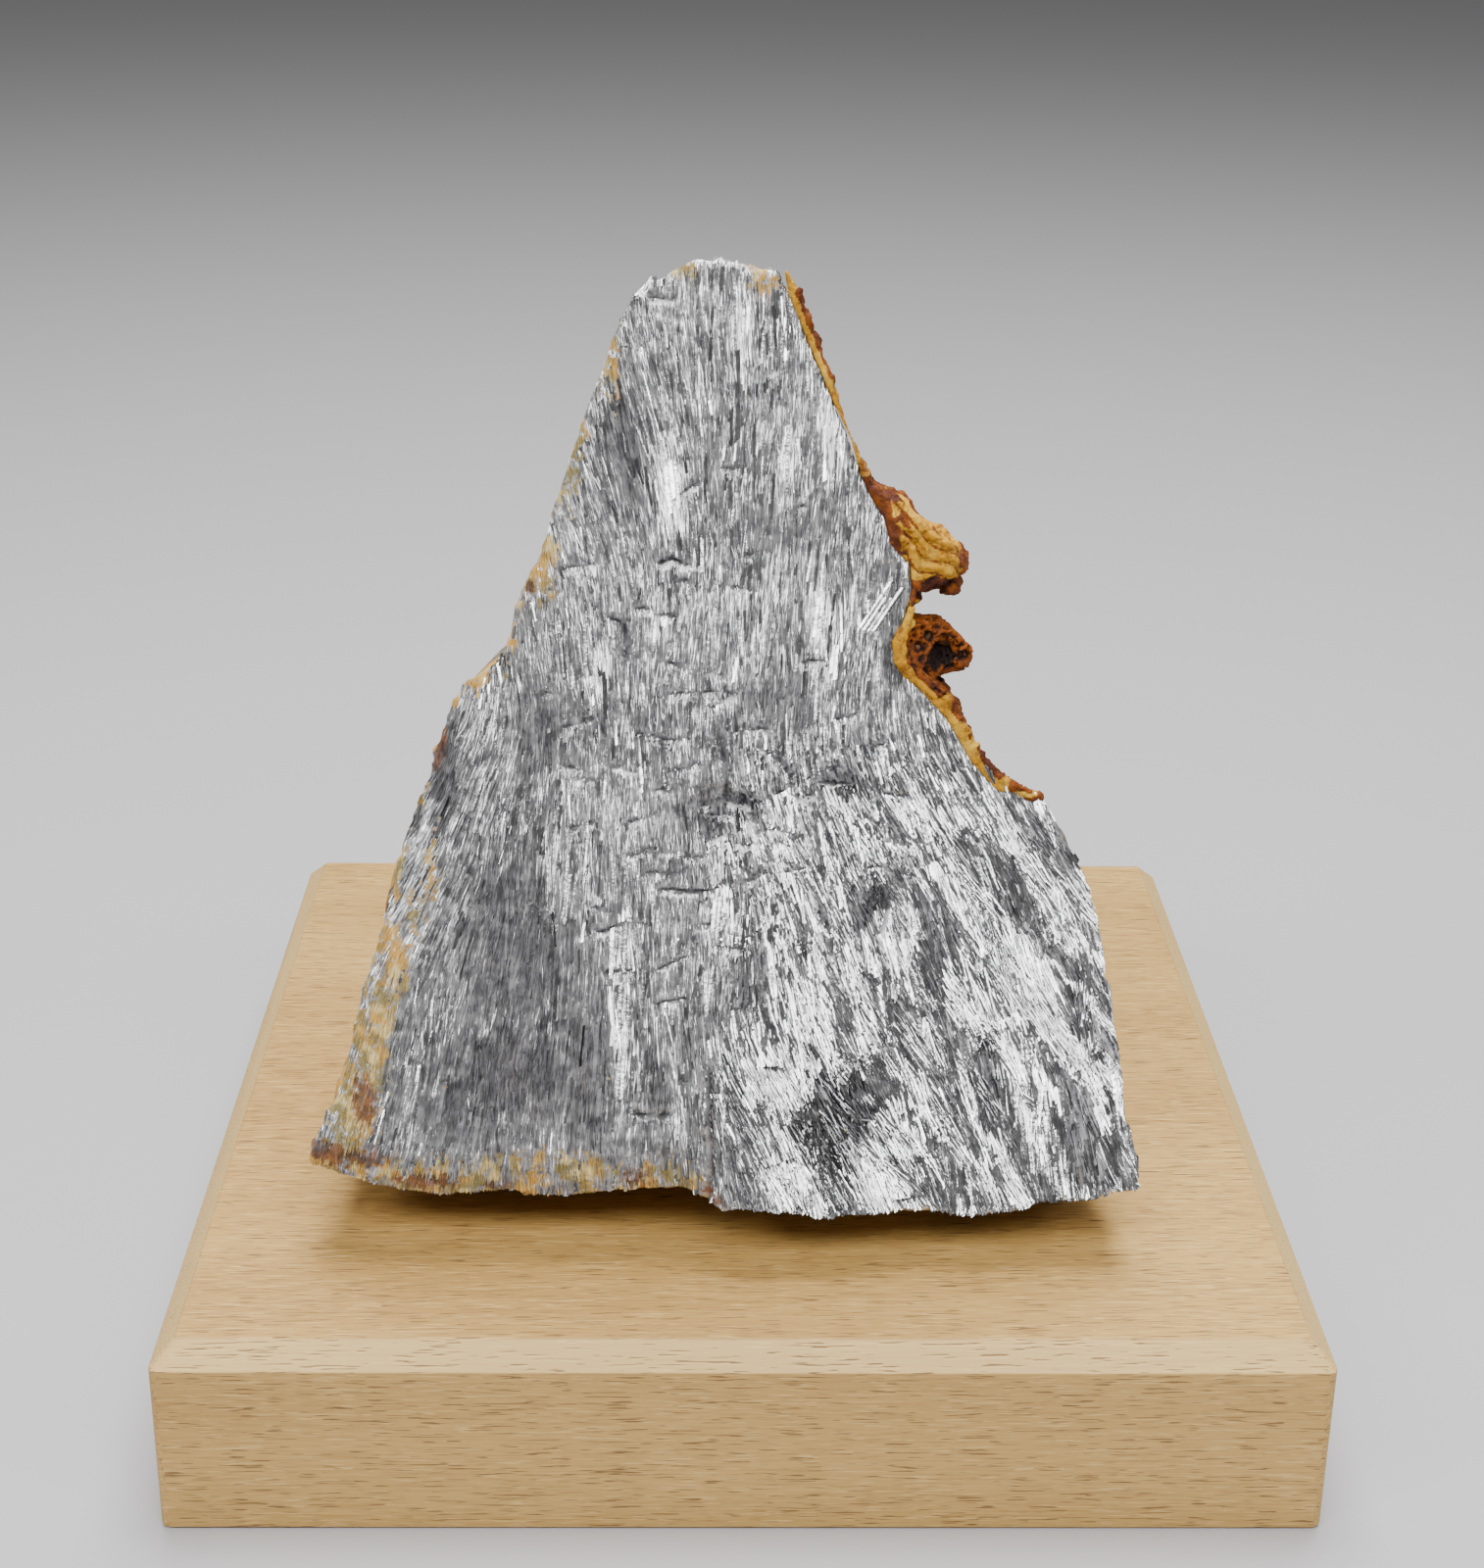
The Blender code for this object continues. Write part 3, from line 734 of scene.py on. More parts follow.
# Shades dim the sheen, and they are also painted dark into the fibres' colour as painted shade.
SHADES = [
    (-13.6, 36.0, 2.0, 7.0, 0.8), (-25.0, 32.0, 3.4, 2.4, 0.7), (-28.2, 60.0, 0.7, 4.6, 1.0),
    (-26.0, 65.0, 0.6, 3.4, 1.0), (-7.6, 34.0, 1.2, 5.0, 0.6), (11.0, 96.0, 1.6, 4.0, 0.5),
    (-2.4, 59.4, 3.2, 2.0, 0.9), (10.3, 50.7, 1.2, 2.4, 1.0), (8.0, 32.0, 4.2, 5.0, 1.0),
    (-19.8, 48.0, 4.4, 8.0, 0.8), (-20.6, 35.6, 5.4, 4.6, 0.9), (7.4, 61.4, 3.0, 1.4, 0.8),
    (-25.6, 62.0, 1.8, 5.5, 0.8), (27.6, 56.0, 1.5, 2.4, 0.8), (-10.6, 89.0, 2.0, 6.0, 0.4),
    (16.0, 47.5, 1.2, 4.4, 0.6), (30.4, 29.6, 2.4, 2.4, 0.6), (0.6, 44.0, 1.6, 4.0, 0.4),
    (12.0, 72.6, 1.2, 3.0, 0.8), (2.4, 69.0, 3.0, 3.0, 0.4), (-17.6, 66.0, 2.0, 4.0, 0.5),
    (20.8, 36.0, 1.0, 3.6, 0.7),
]
NOD_AT_FOOT, NOD_AT_MIDDLE, NOD_AT_TOP = 18.0, 14.5, 6.0
NOD_LEVELS = (24, 62, 104)
NOD_GLEAM, NOD_SHADE = 14.0, 17.0
NOD_COARSE, NOD_DULL = 7.0, 1.5
LARGE_WIDE, LARGE_LONG = 2.7, 2.3
CELL_SPREAD = 9.1


def on_plane(across, up):
    return np.column_stack((across, np.zeros(len(across)), up))


def unit(vectors):
    return vectors / np.linalg.norm(vectors, axis=1)[:, None]


def bundle_turns(across, up, wide, long, seed):
    """For each place, three numbers from -1 to 1 that its whole bundle shares."""
    lean = flow_lean(across, up)
    u = (across * np.cos(lean) + up * np.sin(lean)) / wide
    v = (up * np.cos(lean) - across * np.sin(lean)) / long
    turns = []
    for a, b in zip(u, v):
        centre = noise.voronoi(Vector((a, b, seed)))[1][0]
        turns.append(noise.cell_vector(centre * CELL_SPREAD) * 2 - Vector((1, 1, 1)))
    return np.array(turns)


def fibre_tilts(across, up, draw, tilt, bundle):
    """How far each fibre nods up and rolls sideways, in radians."""
    flat = on_plane(across, up)
    coarse = coarseness(across, up)
    tilt = tilt * (0.7 + 0.5 * coarse)
    gleam = spots(flat, GLEAMS, 0.8)
    shade = spots(flat, SHADES, 0.6)
    small = bundle_turns(across, up, *bundle, 0.37)
    large = bundle_turns(across, up, bundle[0] * LARGE_WIDE, bundle[1] * LARGE_LONG, 4.1)
    single = draw.normal(0, 1, (len(across), 2))
    nod = np.interp(up, NOD_LEVELS, (NOD_AT_FOOT, NOD_AT_MIDDLE, NOD_AT_TOP)) + NOD_COARSE * coarse
    nod -= NOD_DULL * ramp(across, -1.0, -6.0) * ramp(up, 52.0, 40.0)
    own = 0.75 - 0.50 * coarse
    nod += tilt * ((1.25 - own) * small[:, 2] + 0.55 * large[:, 2] + own * single[:, 0])
    nod += NOD_GLEAM * gleam - NOD_SHADE * shade
    roll = tilt * (0.8 * small[:, 1] + 0.5 * single[:, 1])
    return np.radians(nod), np.radians(roll), small[:, 0], shade


def tip_over(nod, roll, ups, ways):
    """Where the sheen of fibres faces, once it nods and rolls."""
    sides = np.cross(ways, ups)
    return unit(ups + sides * np.tan(roll)[:, None] + ways * np.tan(nod)[:, None])


print("gleams", len(GLEAMS), "shades", len(SHADES))


# %% [markdown]
# Single fibres are real geometry. A fine one is a spindle with five corners, and a coarse one a
# blunt lath with six. Thousands are made at once with arrays.

# %% Shapes of fibres
ROUNDNESS = 0.36
SPINDLE_FACES = [(0, 4, 2), (0, 3, 4), (1, 2, 4), (1, 4, 3), (0, 2, 3), (1, 3, 2)]
LATH_FACES = [(0, 4, 2), (4, 5, 2), (1, 3, 4), (3, 5, 4), (0, 1, 4), (2, 5, 3), (0, 2, 3), (0, 3, 1)]


def spindles(centres, ups, sides, ways, half_long, half_wide, ridge):
    """Corners and faces of closed spindles: two tips, two shoulders and a top."""
    tip_a, tip_b = centres - ways * half_long, centres + ways * half_long
    left, right = centres - sides * half_wide, centres + sides * half_wide
    corners = np.stack((tip_a, tip_b, left, right, centres + ups * ridge), 1)
    return corners, np.array(SPINDLE_FACES), (0, 0, -1, 1, 0)


def laths(centres, ups, sides, ways, half_long, half_wide, ridge):
    """Corners and faces of closed laths with blunt slanting ends and a low ridge, like a roof."""
    start, end = centres - ways * half_long, centres + ways * half_long
    across, slant = sides * half_wide, ways * half_wide
    foot = (start - across - slant, start + across, end - across, end + across + slant)
    corners = (*foot, start + ups * ridge, end + ups * ridge)
    return np.stack(corners, 1), np.array(LATH_FACES), (-1, 1, -1, 1, 0, 0)


def fibre_mesh(name, shape, frame_of, sizes, facing):
    """One mesh of closed fibres. They lie along the surface, and their sheen faces its own way, as
    the fine steps on a real fibre do, so the normals are given and not taken from the faces."""
    centres, ups, ways = frame_of
    sides = unit(np.cross(ways, ups))
    corners, pattern, leans = shape(centres, ups, sides, ways, *(size[:, None] for size in sizes))
    count, each = corners.shape[:2]
    faces = (np.arange(count)[:, None, None] * each + pattern).reshape(-1, 3)
    mesh = bpy.data.meshes.new(name)
    mesh.vertices.add(count * each)
    mesh.vertices.foreach_set("co", corners.ravel())
    mesh.loops.add(faces.size)
    mesh.loops.foreach_set("vertex_index", faces.ravel())
    mesh.polygons.add(len(faces))
    mesh.polygons.foreach_set("loop_start", np.arange(0, faces.size, 3))
    shade_smooth(mesh)
    mesh.update(calc_edges=True)
    normals = np.stack([unit(facing + sides * ROUNDNESS * lean) for lean in leans], 1)
    mesh.normals_split_custom_set_from_vertices(normals.reshape(-1, 3))
    return mesh, each


print("a spindle has", len(SPINDLE_FACES), "faces and a lath", len(LATH_FACES))


# %% [markdown]
# Each fibre lies in the surface that a ray finds under it, turned with the flow. One whose tips
# would hang in the air is made shorter, and one that still hangs is left out, so that the ore
# never looks like fur.

# %% Lay fibres on the skin
FACE_ACROSS, FACE_UP, TRIES = (-38, 36), (24, 104.5), 6
RAY_START = 20 * MM
EDGE_MARGIN, EDGE_REACH, EDGE_KEEP = 0.45, 0.8, 0.1
CRACK_CLEAR = 0.12
HANG_MOST = 0.16 * MM
HANG_TRIES, HANG_CUT = 3, 0.55
SKIN_SHARE, SHEEN_SHARE = 0.8, 0.25
SHORT_BIAS, NARROW_BIAS = 1.4, 1.6
FELT_DEEP, RIDGES = 0.14, (0.12, 0.42)

skin_tree = BVHTree.FromPolygons(
    [Vector(p) for p in points_of(body.data)], [tuple(f.vertices) for f in body.data.polygons]
)


def ways_of(lean):
    """The directions of fibres that lean by some angles, on the plane of the face."""
    return np.column_stack((-np.sin(lean), np.zeros(len(lean)), np.cos(lean)))


def in_surface(ways, ups):
    return unit(ways - ups * np.sum(ways * ups, 1)[:, None])


def between(low, high, shares):
    return low + (high - low) * shares


def on_face(across, up):
    """The places of the skin straight behind places of the face, in metres, and its directions."""
    into = Vector(-FACE_OUT)
    found, normals, kept = [], [], []
    for number, (x, z) in enumerate(zip(across, up)):
        start = Vector((x, face_y(z), z)) * MM - into * RAY_START
        place, normal, _, _ = skin_tree.ray_cast(start, into)
        if place is not None:
            found.append(place)
            normals.append(normal if normal.dot(into) < 0 else -normal)
            kept.append(number)
    return np.array(found), np.array(normals), np.array(kept)


def hang(tips):
    """How far tips of fibres hang free of the skin, in metres. Inside it, it is 0 or less."""
    free = []
    for tip in tips:
        place, normal, _, _ = skin_tree.find_nearest(Vector(tip))
        away = Vector(tip) - place
        free.append(away.length if away.dot(normal) > 0 else -away.length)
    return np.array(free)


def settled(places, ways, half_long):
    """Fibres whose tips would hang in the air are shortened. Also says which ones lie well."""
    for _ in range(HANG_TRIES):
        reach = ways * half_long[:, None]
        free = np.maximum(hang(places + reach), hang(places - reach))
        hanging = free > HANG_MOST
        half_long = np.where(hanging, half_long * HANG_CUT, half_long)
    return half_long, ~hanging


def place_fibres(wanted, draw, chance, margin):
    """Places for fibres, across and up, where the chance allows and clear of edges and cracks."""
    across = draw.uniform(*FACE_ACROSS, wanted * TRIES)
    up = draw.uniform(*FACE_UP, wanted * TRIES)
    flat = on_plane(across, up)
    good = draw.uniform(0, 1, len(across)) < chance(across, up)
    good &= from_cracks(flat) > CRACK_HALF * draw.uniform(0.4, 1.3, len(across))
    good &= (room(flat) > margin) & (past_right(flat) < 0.05)
    return across[good][:wanted], up[good][:wanted]


def felt(name, look, shape, wanted, seed, chance, long, wide, bundle, tilt, wander):
    """Lays fibres over the face. chance(across, up) is how likely a fibre is at a place; long and
    wide are ranges in millimetres; bundle is its width, length; tilt and wander are in degrees."""
    draw = np.random.default_rng(seed)
    across, up = place_fibres(wanted, draw, chance, EDGE_MARGIN)
    places, normals, kept = on_face(across, up)
    across, up = across[kept], up[kept]
    count = len(across)
    nod, roll, turn, shade = fibre_tilts(across, up, draw, tilt, bundle)
    lean = flow_lean(across, up)
    wanders = turn * (0.35 + coarseness(across, up)) + 0.5 * draw.normal(0, 1, count)
    lean += np.radians(wander) * wanders
    ways = ways_of(lean)
    smooth = unit(normals * SHEEN_SHARE + FACE_OUT * (1 - SHEEN_SHARE))
    facing = tip_over(nod, roll, smooth, ways)
    ups = unit(normals * SKIN_SHARE + FACE_OUT * (1 - SKIN_SHARE))
    ways = in_surface(ways, ups)
    half_long = between(*long, draw.uniform(0, 1, count) ** SHORT_BIAS) * MM / 2
    half_wide = between(*wide, draw.uniform(0, 1, count) ** NARROW_BIAS) * MM / 2
    flat = on_plane(across, up)
    half_long = np.minimum(half_long, EDGE_REACH * (room(flat) - EDGE_KEEP) * MM)
    half_long = np.minimum(half_long, np.maximum(from_cracks(flat) - CRACK_CLEAR, CRACK_CLEAR) * MM)
    half_long, good = settled(places, ways, half_long)
    centres = places + FACE_OUT * (draw.uniform(0.0, FELT_DEEP, count) * MM)[:, None]
    ridge = half_wide * draw.uniform(*RIDGES, count)
    sizes = [size[good] for size in (half_long, half_wide, ridge)]
    centres, shade = centres[good], shade[good]
    mesh, each = fibre_mesh(name, shape, (centres, ups[good], ways[good]), sizes, facing[good])
    count = len(centres)
    # Some fibres are darker at random, and inside the shades they are painted dark as painted shade.
    dark = np.clip(draw.uniform(0, 1, count) ** 3 * 0.45 + 0.65 * shade, 0, 0.9)
    yellow, brown, dark = (np.repeat(values, each) for values in (*stains(centres / MM), dark))
    store(mesh, yellow=yellow, brown=brown, dark=dark)
    thing = link(name, mesh, look)
    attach(thing, "root")
    highest = round(points_of(mesh)[:, 2].max() / MM, 2)
    print(name, count, "fibres", len(mesh.polygons), "faces, highest", highest)


print("fibres nod by", NOD_AT_TOP, "to", NOD_AT_FOOT, "degrees")


# %% [markdown]
# Four layers of felt: short fibres over the whole face, two more layers of ever finer ones, and
# at the lower right long blunt laths, with a few strays elsewhere.

# %% Lay the fibres
felt(
    "fine_fibres_low", fibre_look, spindles, 32500, 11, lambda a, u: 1 - 0.5 * coarseness(a, u),
    (1.2, 3.4), (0.08, 0.16), (0.9, 4.6), 11, 6,
)
felt(
    "fine_fibres_high", fibre_look, spindles, 32500, 23, lambda a, u: 1 - 0.6 * coarseness(a, u),
    (0.7, 2.4), (0.06, 0.12), (0.6, 3.0), 13, 8,
)
felt(
    "fine_fibres_top", fibre_look, spindles, 21000, 51, lambda a, u: 1 - 0.8 * coarseness(a, u),
    (0.5, 1.8), (0.05, 0.11), (0.5, 1.8), 14, 11,
)
felt(
    "coarse_blades", blade_look, laths, 24000, 37, lambda a, u: 0.06 + 0.94 * coarseness(a, u),
    (2.0, 7.5), (0.08, 0.34), (1.0, 8.0), 11, 9,
)


# %% [markdown]
# A few blades are wide enough to stand out by themselves. Each of these places holds a sheaf of two
# to four laths that catch the light together.

# %% Single bright blades
# Each blade: across, up, length, width, lean in degrees.
BLADES = [
    (10.6, 76.2, 5.0, 1.1, -32), (-10.9, 47.0, 4.6, 1.1, -2), (-10.6, 41.6, 5.0, 1.3, -3),
    (-10.4, 35.6, 5.2, 1.2, -3), (-6.4, 86.6, 4.0, 0.9, 6), (-0.6, 99.4, 2.8, 0.7, -2),
    (15.3, 41.2, 5.0, 0.8, 0), (20.0, 31.4, 3.6, 0.7, 0), (23.3, 39.8, 5.0, 1.0, 25),
    (25.2, 33.2, 3.0, 0.4, 55), (16.7, 31.6, 2.4, 0.6, 5), (20.2, 45.4, 3.4, 1.2, 8),
    (11.8, 30.8, 1.8, 0.7, 30), (13.1, 36.1, 2.2, 0.5, 35), (4.6, 38.6, 4.0, 0.8, 24),
    (-2.4, 50.4, 4.0, 0.8, -4), (5.6, 75.6, 3.6, 0.7, -5), (7.0, 72.0, 3.2, 0.6, -4),
]
LATH_WIDE = 0.36
BLADE_NOD = 26
BLADE_LIFT = 0.10 * MM
BLADE_SLIDE, BLADE_LENGTHS = 0.12, (0.6, 0.95)


def bright_blades():
    draw = np.random.default_rng(5)
    laid = []
    for across, up, long, wide, lean in BLADES:
        count = math.ceil(wide / LATH_WIDE)
        lean = math.radians(lean)
        for number in range(count):
            off = (number + 0.5 - count / 2) * LATH_WIDE
            slide = draw.uniform(-BLADE_SLIDE, BLADE_SLIDE) * long
            x = across + off * math.cos(lean) - slide * math.sin(lean)
            z = up + off * math.sin(lean) + slide * math.cos(lean)
            length = long * draw.uniform(*BLADE_LENGTHS)
            laid.append((x, z, length, lean, draw.normal(BLADE_NOD, 3)))
    across, up, long, lean, nod = np.array(laid).T
    places, normals, kept = on_face(across, up)
    long, lean, nod, count = long[kept], lean[kept], nod[kept], len(kept)
    ways = ways_of(lean)
    outward = np.tile(FACE_OUT, (count, 1))
    facing = tip_over(np.radians(nod), np.zeros(count), outward, ways)
    ways = in_surface(ways, outward)
    half_wide = np.full(count, LATH_WIDE * MM * 0.52)
    sizes = (long * MM / 2, half_wide, half_wide * 0.4)
    lifted = places + FACE_OUT * BLADE_LIFT
    mesh, each = fibre_mesh("bright_blades", laths, (lifted, outward, ways), sizes, facing)
    clean = np.zeros(count * each)
    store(mesh, yellow=clean, brown=clean, dark=clean)
    thing = link("bright_blades", mesh, blade_look)
    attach(thing, "root")
    print("bright blades", len(mesh.polygons), "faces")


bright_blades()


# %% [markdown]
# The rind along the right edge is another mineral, so it is made apart and finer than the body:
# the solid is cut with an upright slab that follows the end of the silver, and the piece is
# remeshed at a fifth of a millimetre. The beak and the sponge are cut the same way, the sponge
# finer still.

# %% Cut the rind, the beak and the sponge from the solid
RIND_VOXEL = 0.20 * MM
SPONGE_VOXEL = 0.15 * MM
FRONT_OF_FACE = 3.0
FAR_RIGHT = 40.0


def silver_end(low, high):
    """The silver's right end between two heights, from the bottom up."""
    inner = sorted(z for _, z in SILVER_RIGHT if low < z < high)
    return [(float(line_at(SILVER_RIGHT, z, 1)), z) for z in (low, *inner, high)]


def slab(name, low, high):
    """An upright slab from the silver's right end outwards."""
    outline = silver_end(low, high) + [(FAR_RIGHT, high), (FAR_RIGHT, low)]
    shape = bmesh.new()
    rings = []
    for depth in (-FRONT_OF_FACE, RIND_DEEP):
        rings.append([shape.verts.new(Vector((x, face_y(z) + depth, z)) * MM) for x, z in outline])
    for k in range(len(outline)):
        after = (k + 1) % len(outline)
        shape.faces.new((rings[0][k], rings[0][after], rings[1][after], rings[1][k]))
    for ring in rings:
        shape.faces.new(ring)
    bmesh.ops.recalc_face_normals(shape, faces=shape.faces[:])
    bmesh.ops.triangulate(shape, faces=shape.faces[:])
    return link(name, mesh_of(name, shape))


def welded(mesh):
    copy = mesh.copy()
    shape = bmesh.new()
    shape.from_mesh(copy)
    bmesh.ops.remove_doubles(shape, verts=shape.verts, dist=0.001 * MM)
    shape.to_mesh(copy)
    shape.free()
    return copy


whole_ore = welded(cad_ore)


def cut_out(name, low, high):
    """The part of the solid that lies beyond the silver, as a fine even mesh."""
    knife = slab(name + "_slab", low, high)
    work = link(name + "_block", whole_ore.copy())
    step = work.modifiers.new("cut", "BOOLEAN")
    step.operation = "INTERSECT"
    step.solver = "EXACT"
    step.object = knife
    rough = evaluated_mesh(work)
    bpy.data.objects.remove(work)
    bpy.data.objects.remove(knife)
    return remeshed(name, rough, SPONGE_VOXEL if name == "sponge" else RIND_VOXEL)


print("whole ore welded to", len(whole_ore.vertices), "points")


# %% [markdown]
# Each surface is worked by its own function, which says for every point how far it is pushed out
# and how yellow, brown and dark it is, the dark being painted shade in its hollows. Places on it
# are across and up, as on the face.

# %% Work the surfaces
BAND_LEVELS = (60, 64, 69, 86, 92, 98, 104)
BAND_WIDTHS = (0.7, 0.8, 1.0, 0.7, 0.42, 0.42, 0.5)
# The cavity is only painted: a dark spot of painted shade on the sponge.
CAVITY_SHADE, CAVITY_SHADE_SIZE = (16.0, 71.9), (1.3, 0.9)
LILAC, LILAC_SIZE = (14.2, 71.0), (1.6, 1.5)
SWIRL = (11.6, 82.4)
TOP_CLEAR = 0.02


def cell_pits(points, size, offset):
    """1 in the middle of each cell and 0 on the walls between cells."""
    depth = []
    for place in points / size + offset:
        near = noise.voronoi(Vector(place))[0]
        depth.append(near[1] - near[0])
    return ramp(np.array(depth), 0.08, 0.45)


def folds(points):
    """Soft folds that wind, as bands of a bent noise."""
    bent = points + 1.6 * np.column_stack([noise_at(points, 3.4, k * 7.7) for k in (1, 2, 3)])
    return np.sin(bent[:, 0] * 3.1 + bent[:, 2] * 4.3)


def crust(points):
    """The rind: a yellow band beside the silver, then a lumpy brown crust."""
    lumps = noise_at(points, 1.3, 3.0, 2) + 0.7 * noise_at(points, 0.55, 5.0, 2)
    wander = 0.26 * noise_at(points, 1.3, 8.0, 3)
    band = np.interp(points[:, 2], BAND_LEVELS, BAND_WIDTHS)
    past = past_right(points) + wander
    outer = np.maximum(ramp(past, band, band + 0.25), ramp(behind_face(points), 1.0, 1.8))
    patch = ramp(noise_at(points, 2.6, 1.0, 2), 0.1, 0.5)
    brown = outer * (1 - 0.75 * patch)
    grain = 0.10 * noise_at(points, 0.45, 9.0, 2)
    push = 0.34 * lumps * outer + 0.12 * outer + grain
    # The last value is painted shade: the crust's low places turn nearly black.
    return push, 1 - brown, brown, 0.8 * ramp(-lumps, 0.3, 0.9) * outer


BEAK_BROWN = [
    (11.3, 82.6, 1.5, 1.7, 0.75), (10.2, 85.6, 1.6, 1.6, 0.8), (17.9, 80.0, 0.8, 1.5, 1.0),
    (18.2, 79.0, 0.6, 1.0, 1.0), (12.8, 87.0, 2.0, 0.6, 0.8), (9.0, 87.8, 1.2, 0.9, 0.5),
]


def beak(points):
    """The beak: yellow folds, brown where they are deep, and a brown crust at its tip and below."""
    fold = folds(points)
    lumps = noise_at(points, 0.9, 3.0, 2) + 0.6 * noise_at(points, 0.4, 5.0, 2)
    under = 78.9 - points[:, 2] + 0.5 * noise_at(points, 1.2, 2.0)
    below = ramp(under, 0, 0.7) * ramp(points[:, 0], 12.8, 13.6)
    skin_of_back = ramp(behind_face(points), 3.2, 5.0)
    brown = np.maximum(spots(points, BEAK_BROWN, 0.7), np.maximum(below, 0.9 * skin_of_back))
    swirl = ramp(np.sin(5.0 * from_place(points, SWIRL) + fold), 0.2, 0.9)
    swirl *= ramp(13.4 - points[:, 0], 0, 0.8) * ramp(points[:, 2], 79.6, 80.6)
    brown = np.maximum(brown, np.maximum(0.60 * ramp(-fold, 0.35, 0.95), 0.75 * swirl))
    push = 0.14 * fold * (1 - below) + 0.20 * lumps + 0.25 * below * lumps
    # The last value is painted shade in the hollows of the crust under the beak.
    return push, 1 - 0.4 * brown, brown, 0.8 * below * ramp(-lumps, -0.1, 0.5)


def boxwork(points):
    """The sponge: thin walls round hollow cells, with the yellow band where it meets the silver."""
    band = 1 - ramp(past_right(points) + 0.3 * noise_at(points, 1.2, 8.0), 0.9, 1.3)
    hollow = np.maximum(cell_pits(points, 1.15, 2.0), 0.75 * cell_pits(points, 0.5, 7.0)) * (1 - band)
    cavity_shade = ramp(1.2 - from_place(points, CAVITY_SHADE, CAVITY_SHADE_SIZE), 0, 0.5)
    lilac = ramp(1.3 - from_place(points, LILAC, LILAC_SIZE), 0, 0.5)
    push = 0.14 - 0.60 * hollow * (1 - 0.6 * lilac)
    # The last value is painted shade: the hollow cells and the cavity turn nearly black.
    return push, band, 1 - band, np.clip(0.95 * hollow + cavity_shade, 0, 1)


def finish_rind(name, low, high, work, look, slot):
    """Cuts a piece, works its surface, and hands over its stains."""
    mesh = cut_out(name, low, high)
    points = points_of(mesh) / MM
    push, yellow, brown, dark = work(points)
    edge = ramp(past_right(points), 0.0, 0.5)
    points = points + normals_of(mesh) * (push * edge)[:, None]
    points[:, 2] = np.minimum(points[:, 2], ore_high.z / MM - TOP_CLEAR)
    set_points(mesh, points * MM)
    yellow, brown, dark = (np.clip(values, 0, 1) for values in (yellow, brown, dark))
    store(mesh, yellow=yellow, brown=brown, dark=dark)
    thing = link(name, mesh, look)
    shade_smooth(mesh)
    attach(thing, "root")
    print(name, len(mesh.polygons), "faces")


print("beak has", len(BEAK_BROWN), "brown places")


# %% [markdown]
# The rind's finishes are earths, with no metal in them. Bindheimite is egg-yolk yellow with paler
# crests, and the crust over it is rust: orange where it is thin, and painted nearly black in its
# hollows as painted shade.

# %% Rind finishes
YOLK_DARK, YOLK = colour(0.19, 0.07, 0.005), colour(0.46, 0.22, 0.009)
YOLK_PALE = colour(0.66, 0.41, 0.05)
RUST_ORANGE, RUST_RED = colour(0.22, 0.055, 0.004), colour(0.055, 0.012, 0.004)
RUST_HOLLOW_SHADE = colour(0.011, 0.004, 0.003)
EARTH_SHEEN, EARTH_BUMP = 0.22, 0.3 * MM


def rind_finish(name, orange):
    look = Look(name, Specular_IOR_Level=EARTH_SHEEN)
    fine = look.mottle(1700, 3)
    broad = look.mottle(420, 3)
    yolk = look.blend(fine.between(0.3, 0.6), YOLK_DARK, YOLK)
    yolk = look.blend(broad.between(0.45, 0.7) * 0.8, yolk, YOLK_PALE)
    rust = look.blend((broad * 0.6 + fine * 0.4 + orange).between(0.4, 0.65), RUST_RED, RUST_ORANGE)
    share = (look.read("brown") + (fine - 0.5) * 0.9 + (broad - 0.5) * 0.5).between(0.3, 0.6)
    tint = look.blend(share, yolk, rust)
    # Painted shade: the marked hollows turn nearly black.
    tint = look.blend(look.read("dark").between(0.1, 1.0), tint, RUST_HOLLOW_SHADE)
    look.feed(
        Base_Color=tint,
        Roughness=0.62 + fine * 0.3,
        Normal=look.bump(fine + look.mottle(3600, 2) * 0.5, 0.9, EARTH_BUMP),
    )
    return look


rind_look = rind_finish("bindheimite_rind", 0.0)
sponge_look = rind_finish("limonite_sponge", 0.10)
# Each piece: name, foot and top in millimetres, how it is worked, its finish and its slot.
RIND_PIECES = [
    ("rind_upper", 88.2, 104.7, crust, rind_look, "bindheimite"),
    ("beak", 76.6, 88.2, beak, rind_look, "bindheimite"),
    ("sponge", 69.0, 76.6, boxwork, sponge_look, "limonite"),
    ("rind_lower", 60.6, 69.0, crust, rind_look, "bindheimite"),
]
for piece in RIND_PIECES:
    finish_rind(*piece)


# %% [markdown]
# The block is real wood: fine dark pores a couple of millimetres long, lying along the grain, each
# with a pale line painted just below it as a painted highlight on its edge, and soft wide bands of
# colour. The pattern is solid, so the same pores show as dots on end grain. The chamfer is painted
# paler, a painted highlight where it faces the light.

# %% Wood finish
WOOD_DARK, WOOD_MID = colour(0.28, 0.145, 0.036), colour(0.40, 0.23, 0.058)
WOOD_PALE, WOOD_CHAMFER_HIGHLIGHT = colour(0.50, 0.31, 0.09), colour(0.62, 0.43, 0.17)
WOOD_PORE, WOOD_SCRATCH_AND_HIGHLIGHT = colour(0.15, 0.07, 0.018), colour(0.68, 0.46, 0.18)
BAND_SCALES, SILK_SCALES, FLECK_SCALES = (7, 70, 70), (130, 4200, 4200), (420, 4600, 4600)
PORE_SCALES, PORE_TURN = (330, 6600, 6600), (0, 0, 0.02)
SCRATCH_SCALES, SCRATCH_TURN = (260, 3700, 3700), (0, 0, -0.03)
WOOD_BUMP = 0.12 * MM
HIGHLIGHT_DROP = 0.12 * MM
CHAMFER_FROM, CHAMFER_TO, CHAMFER_SOFT = 15.8 * MM, 18 * MM, 0.2 * MM


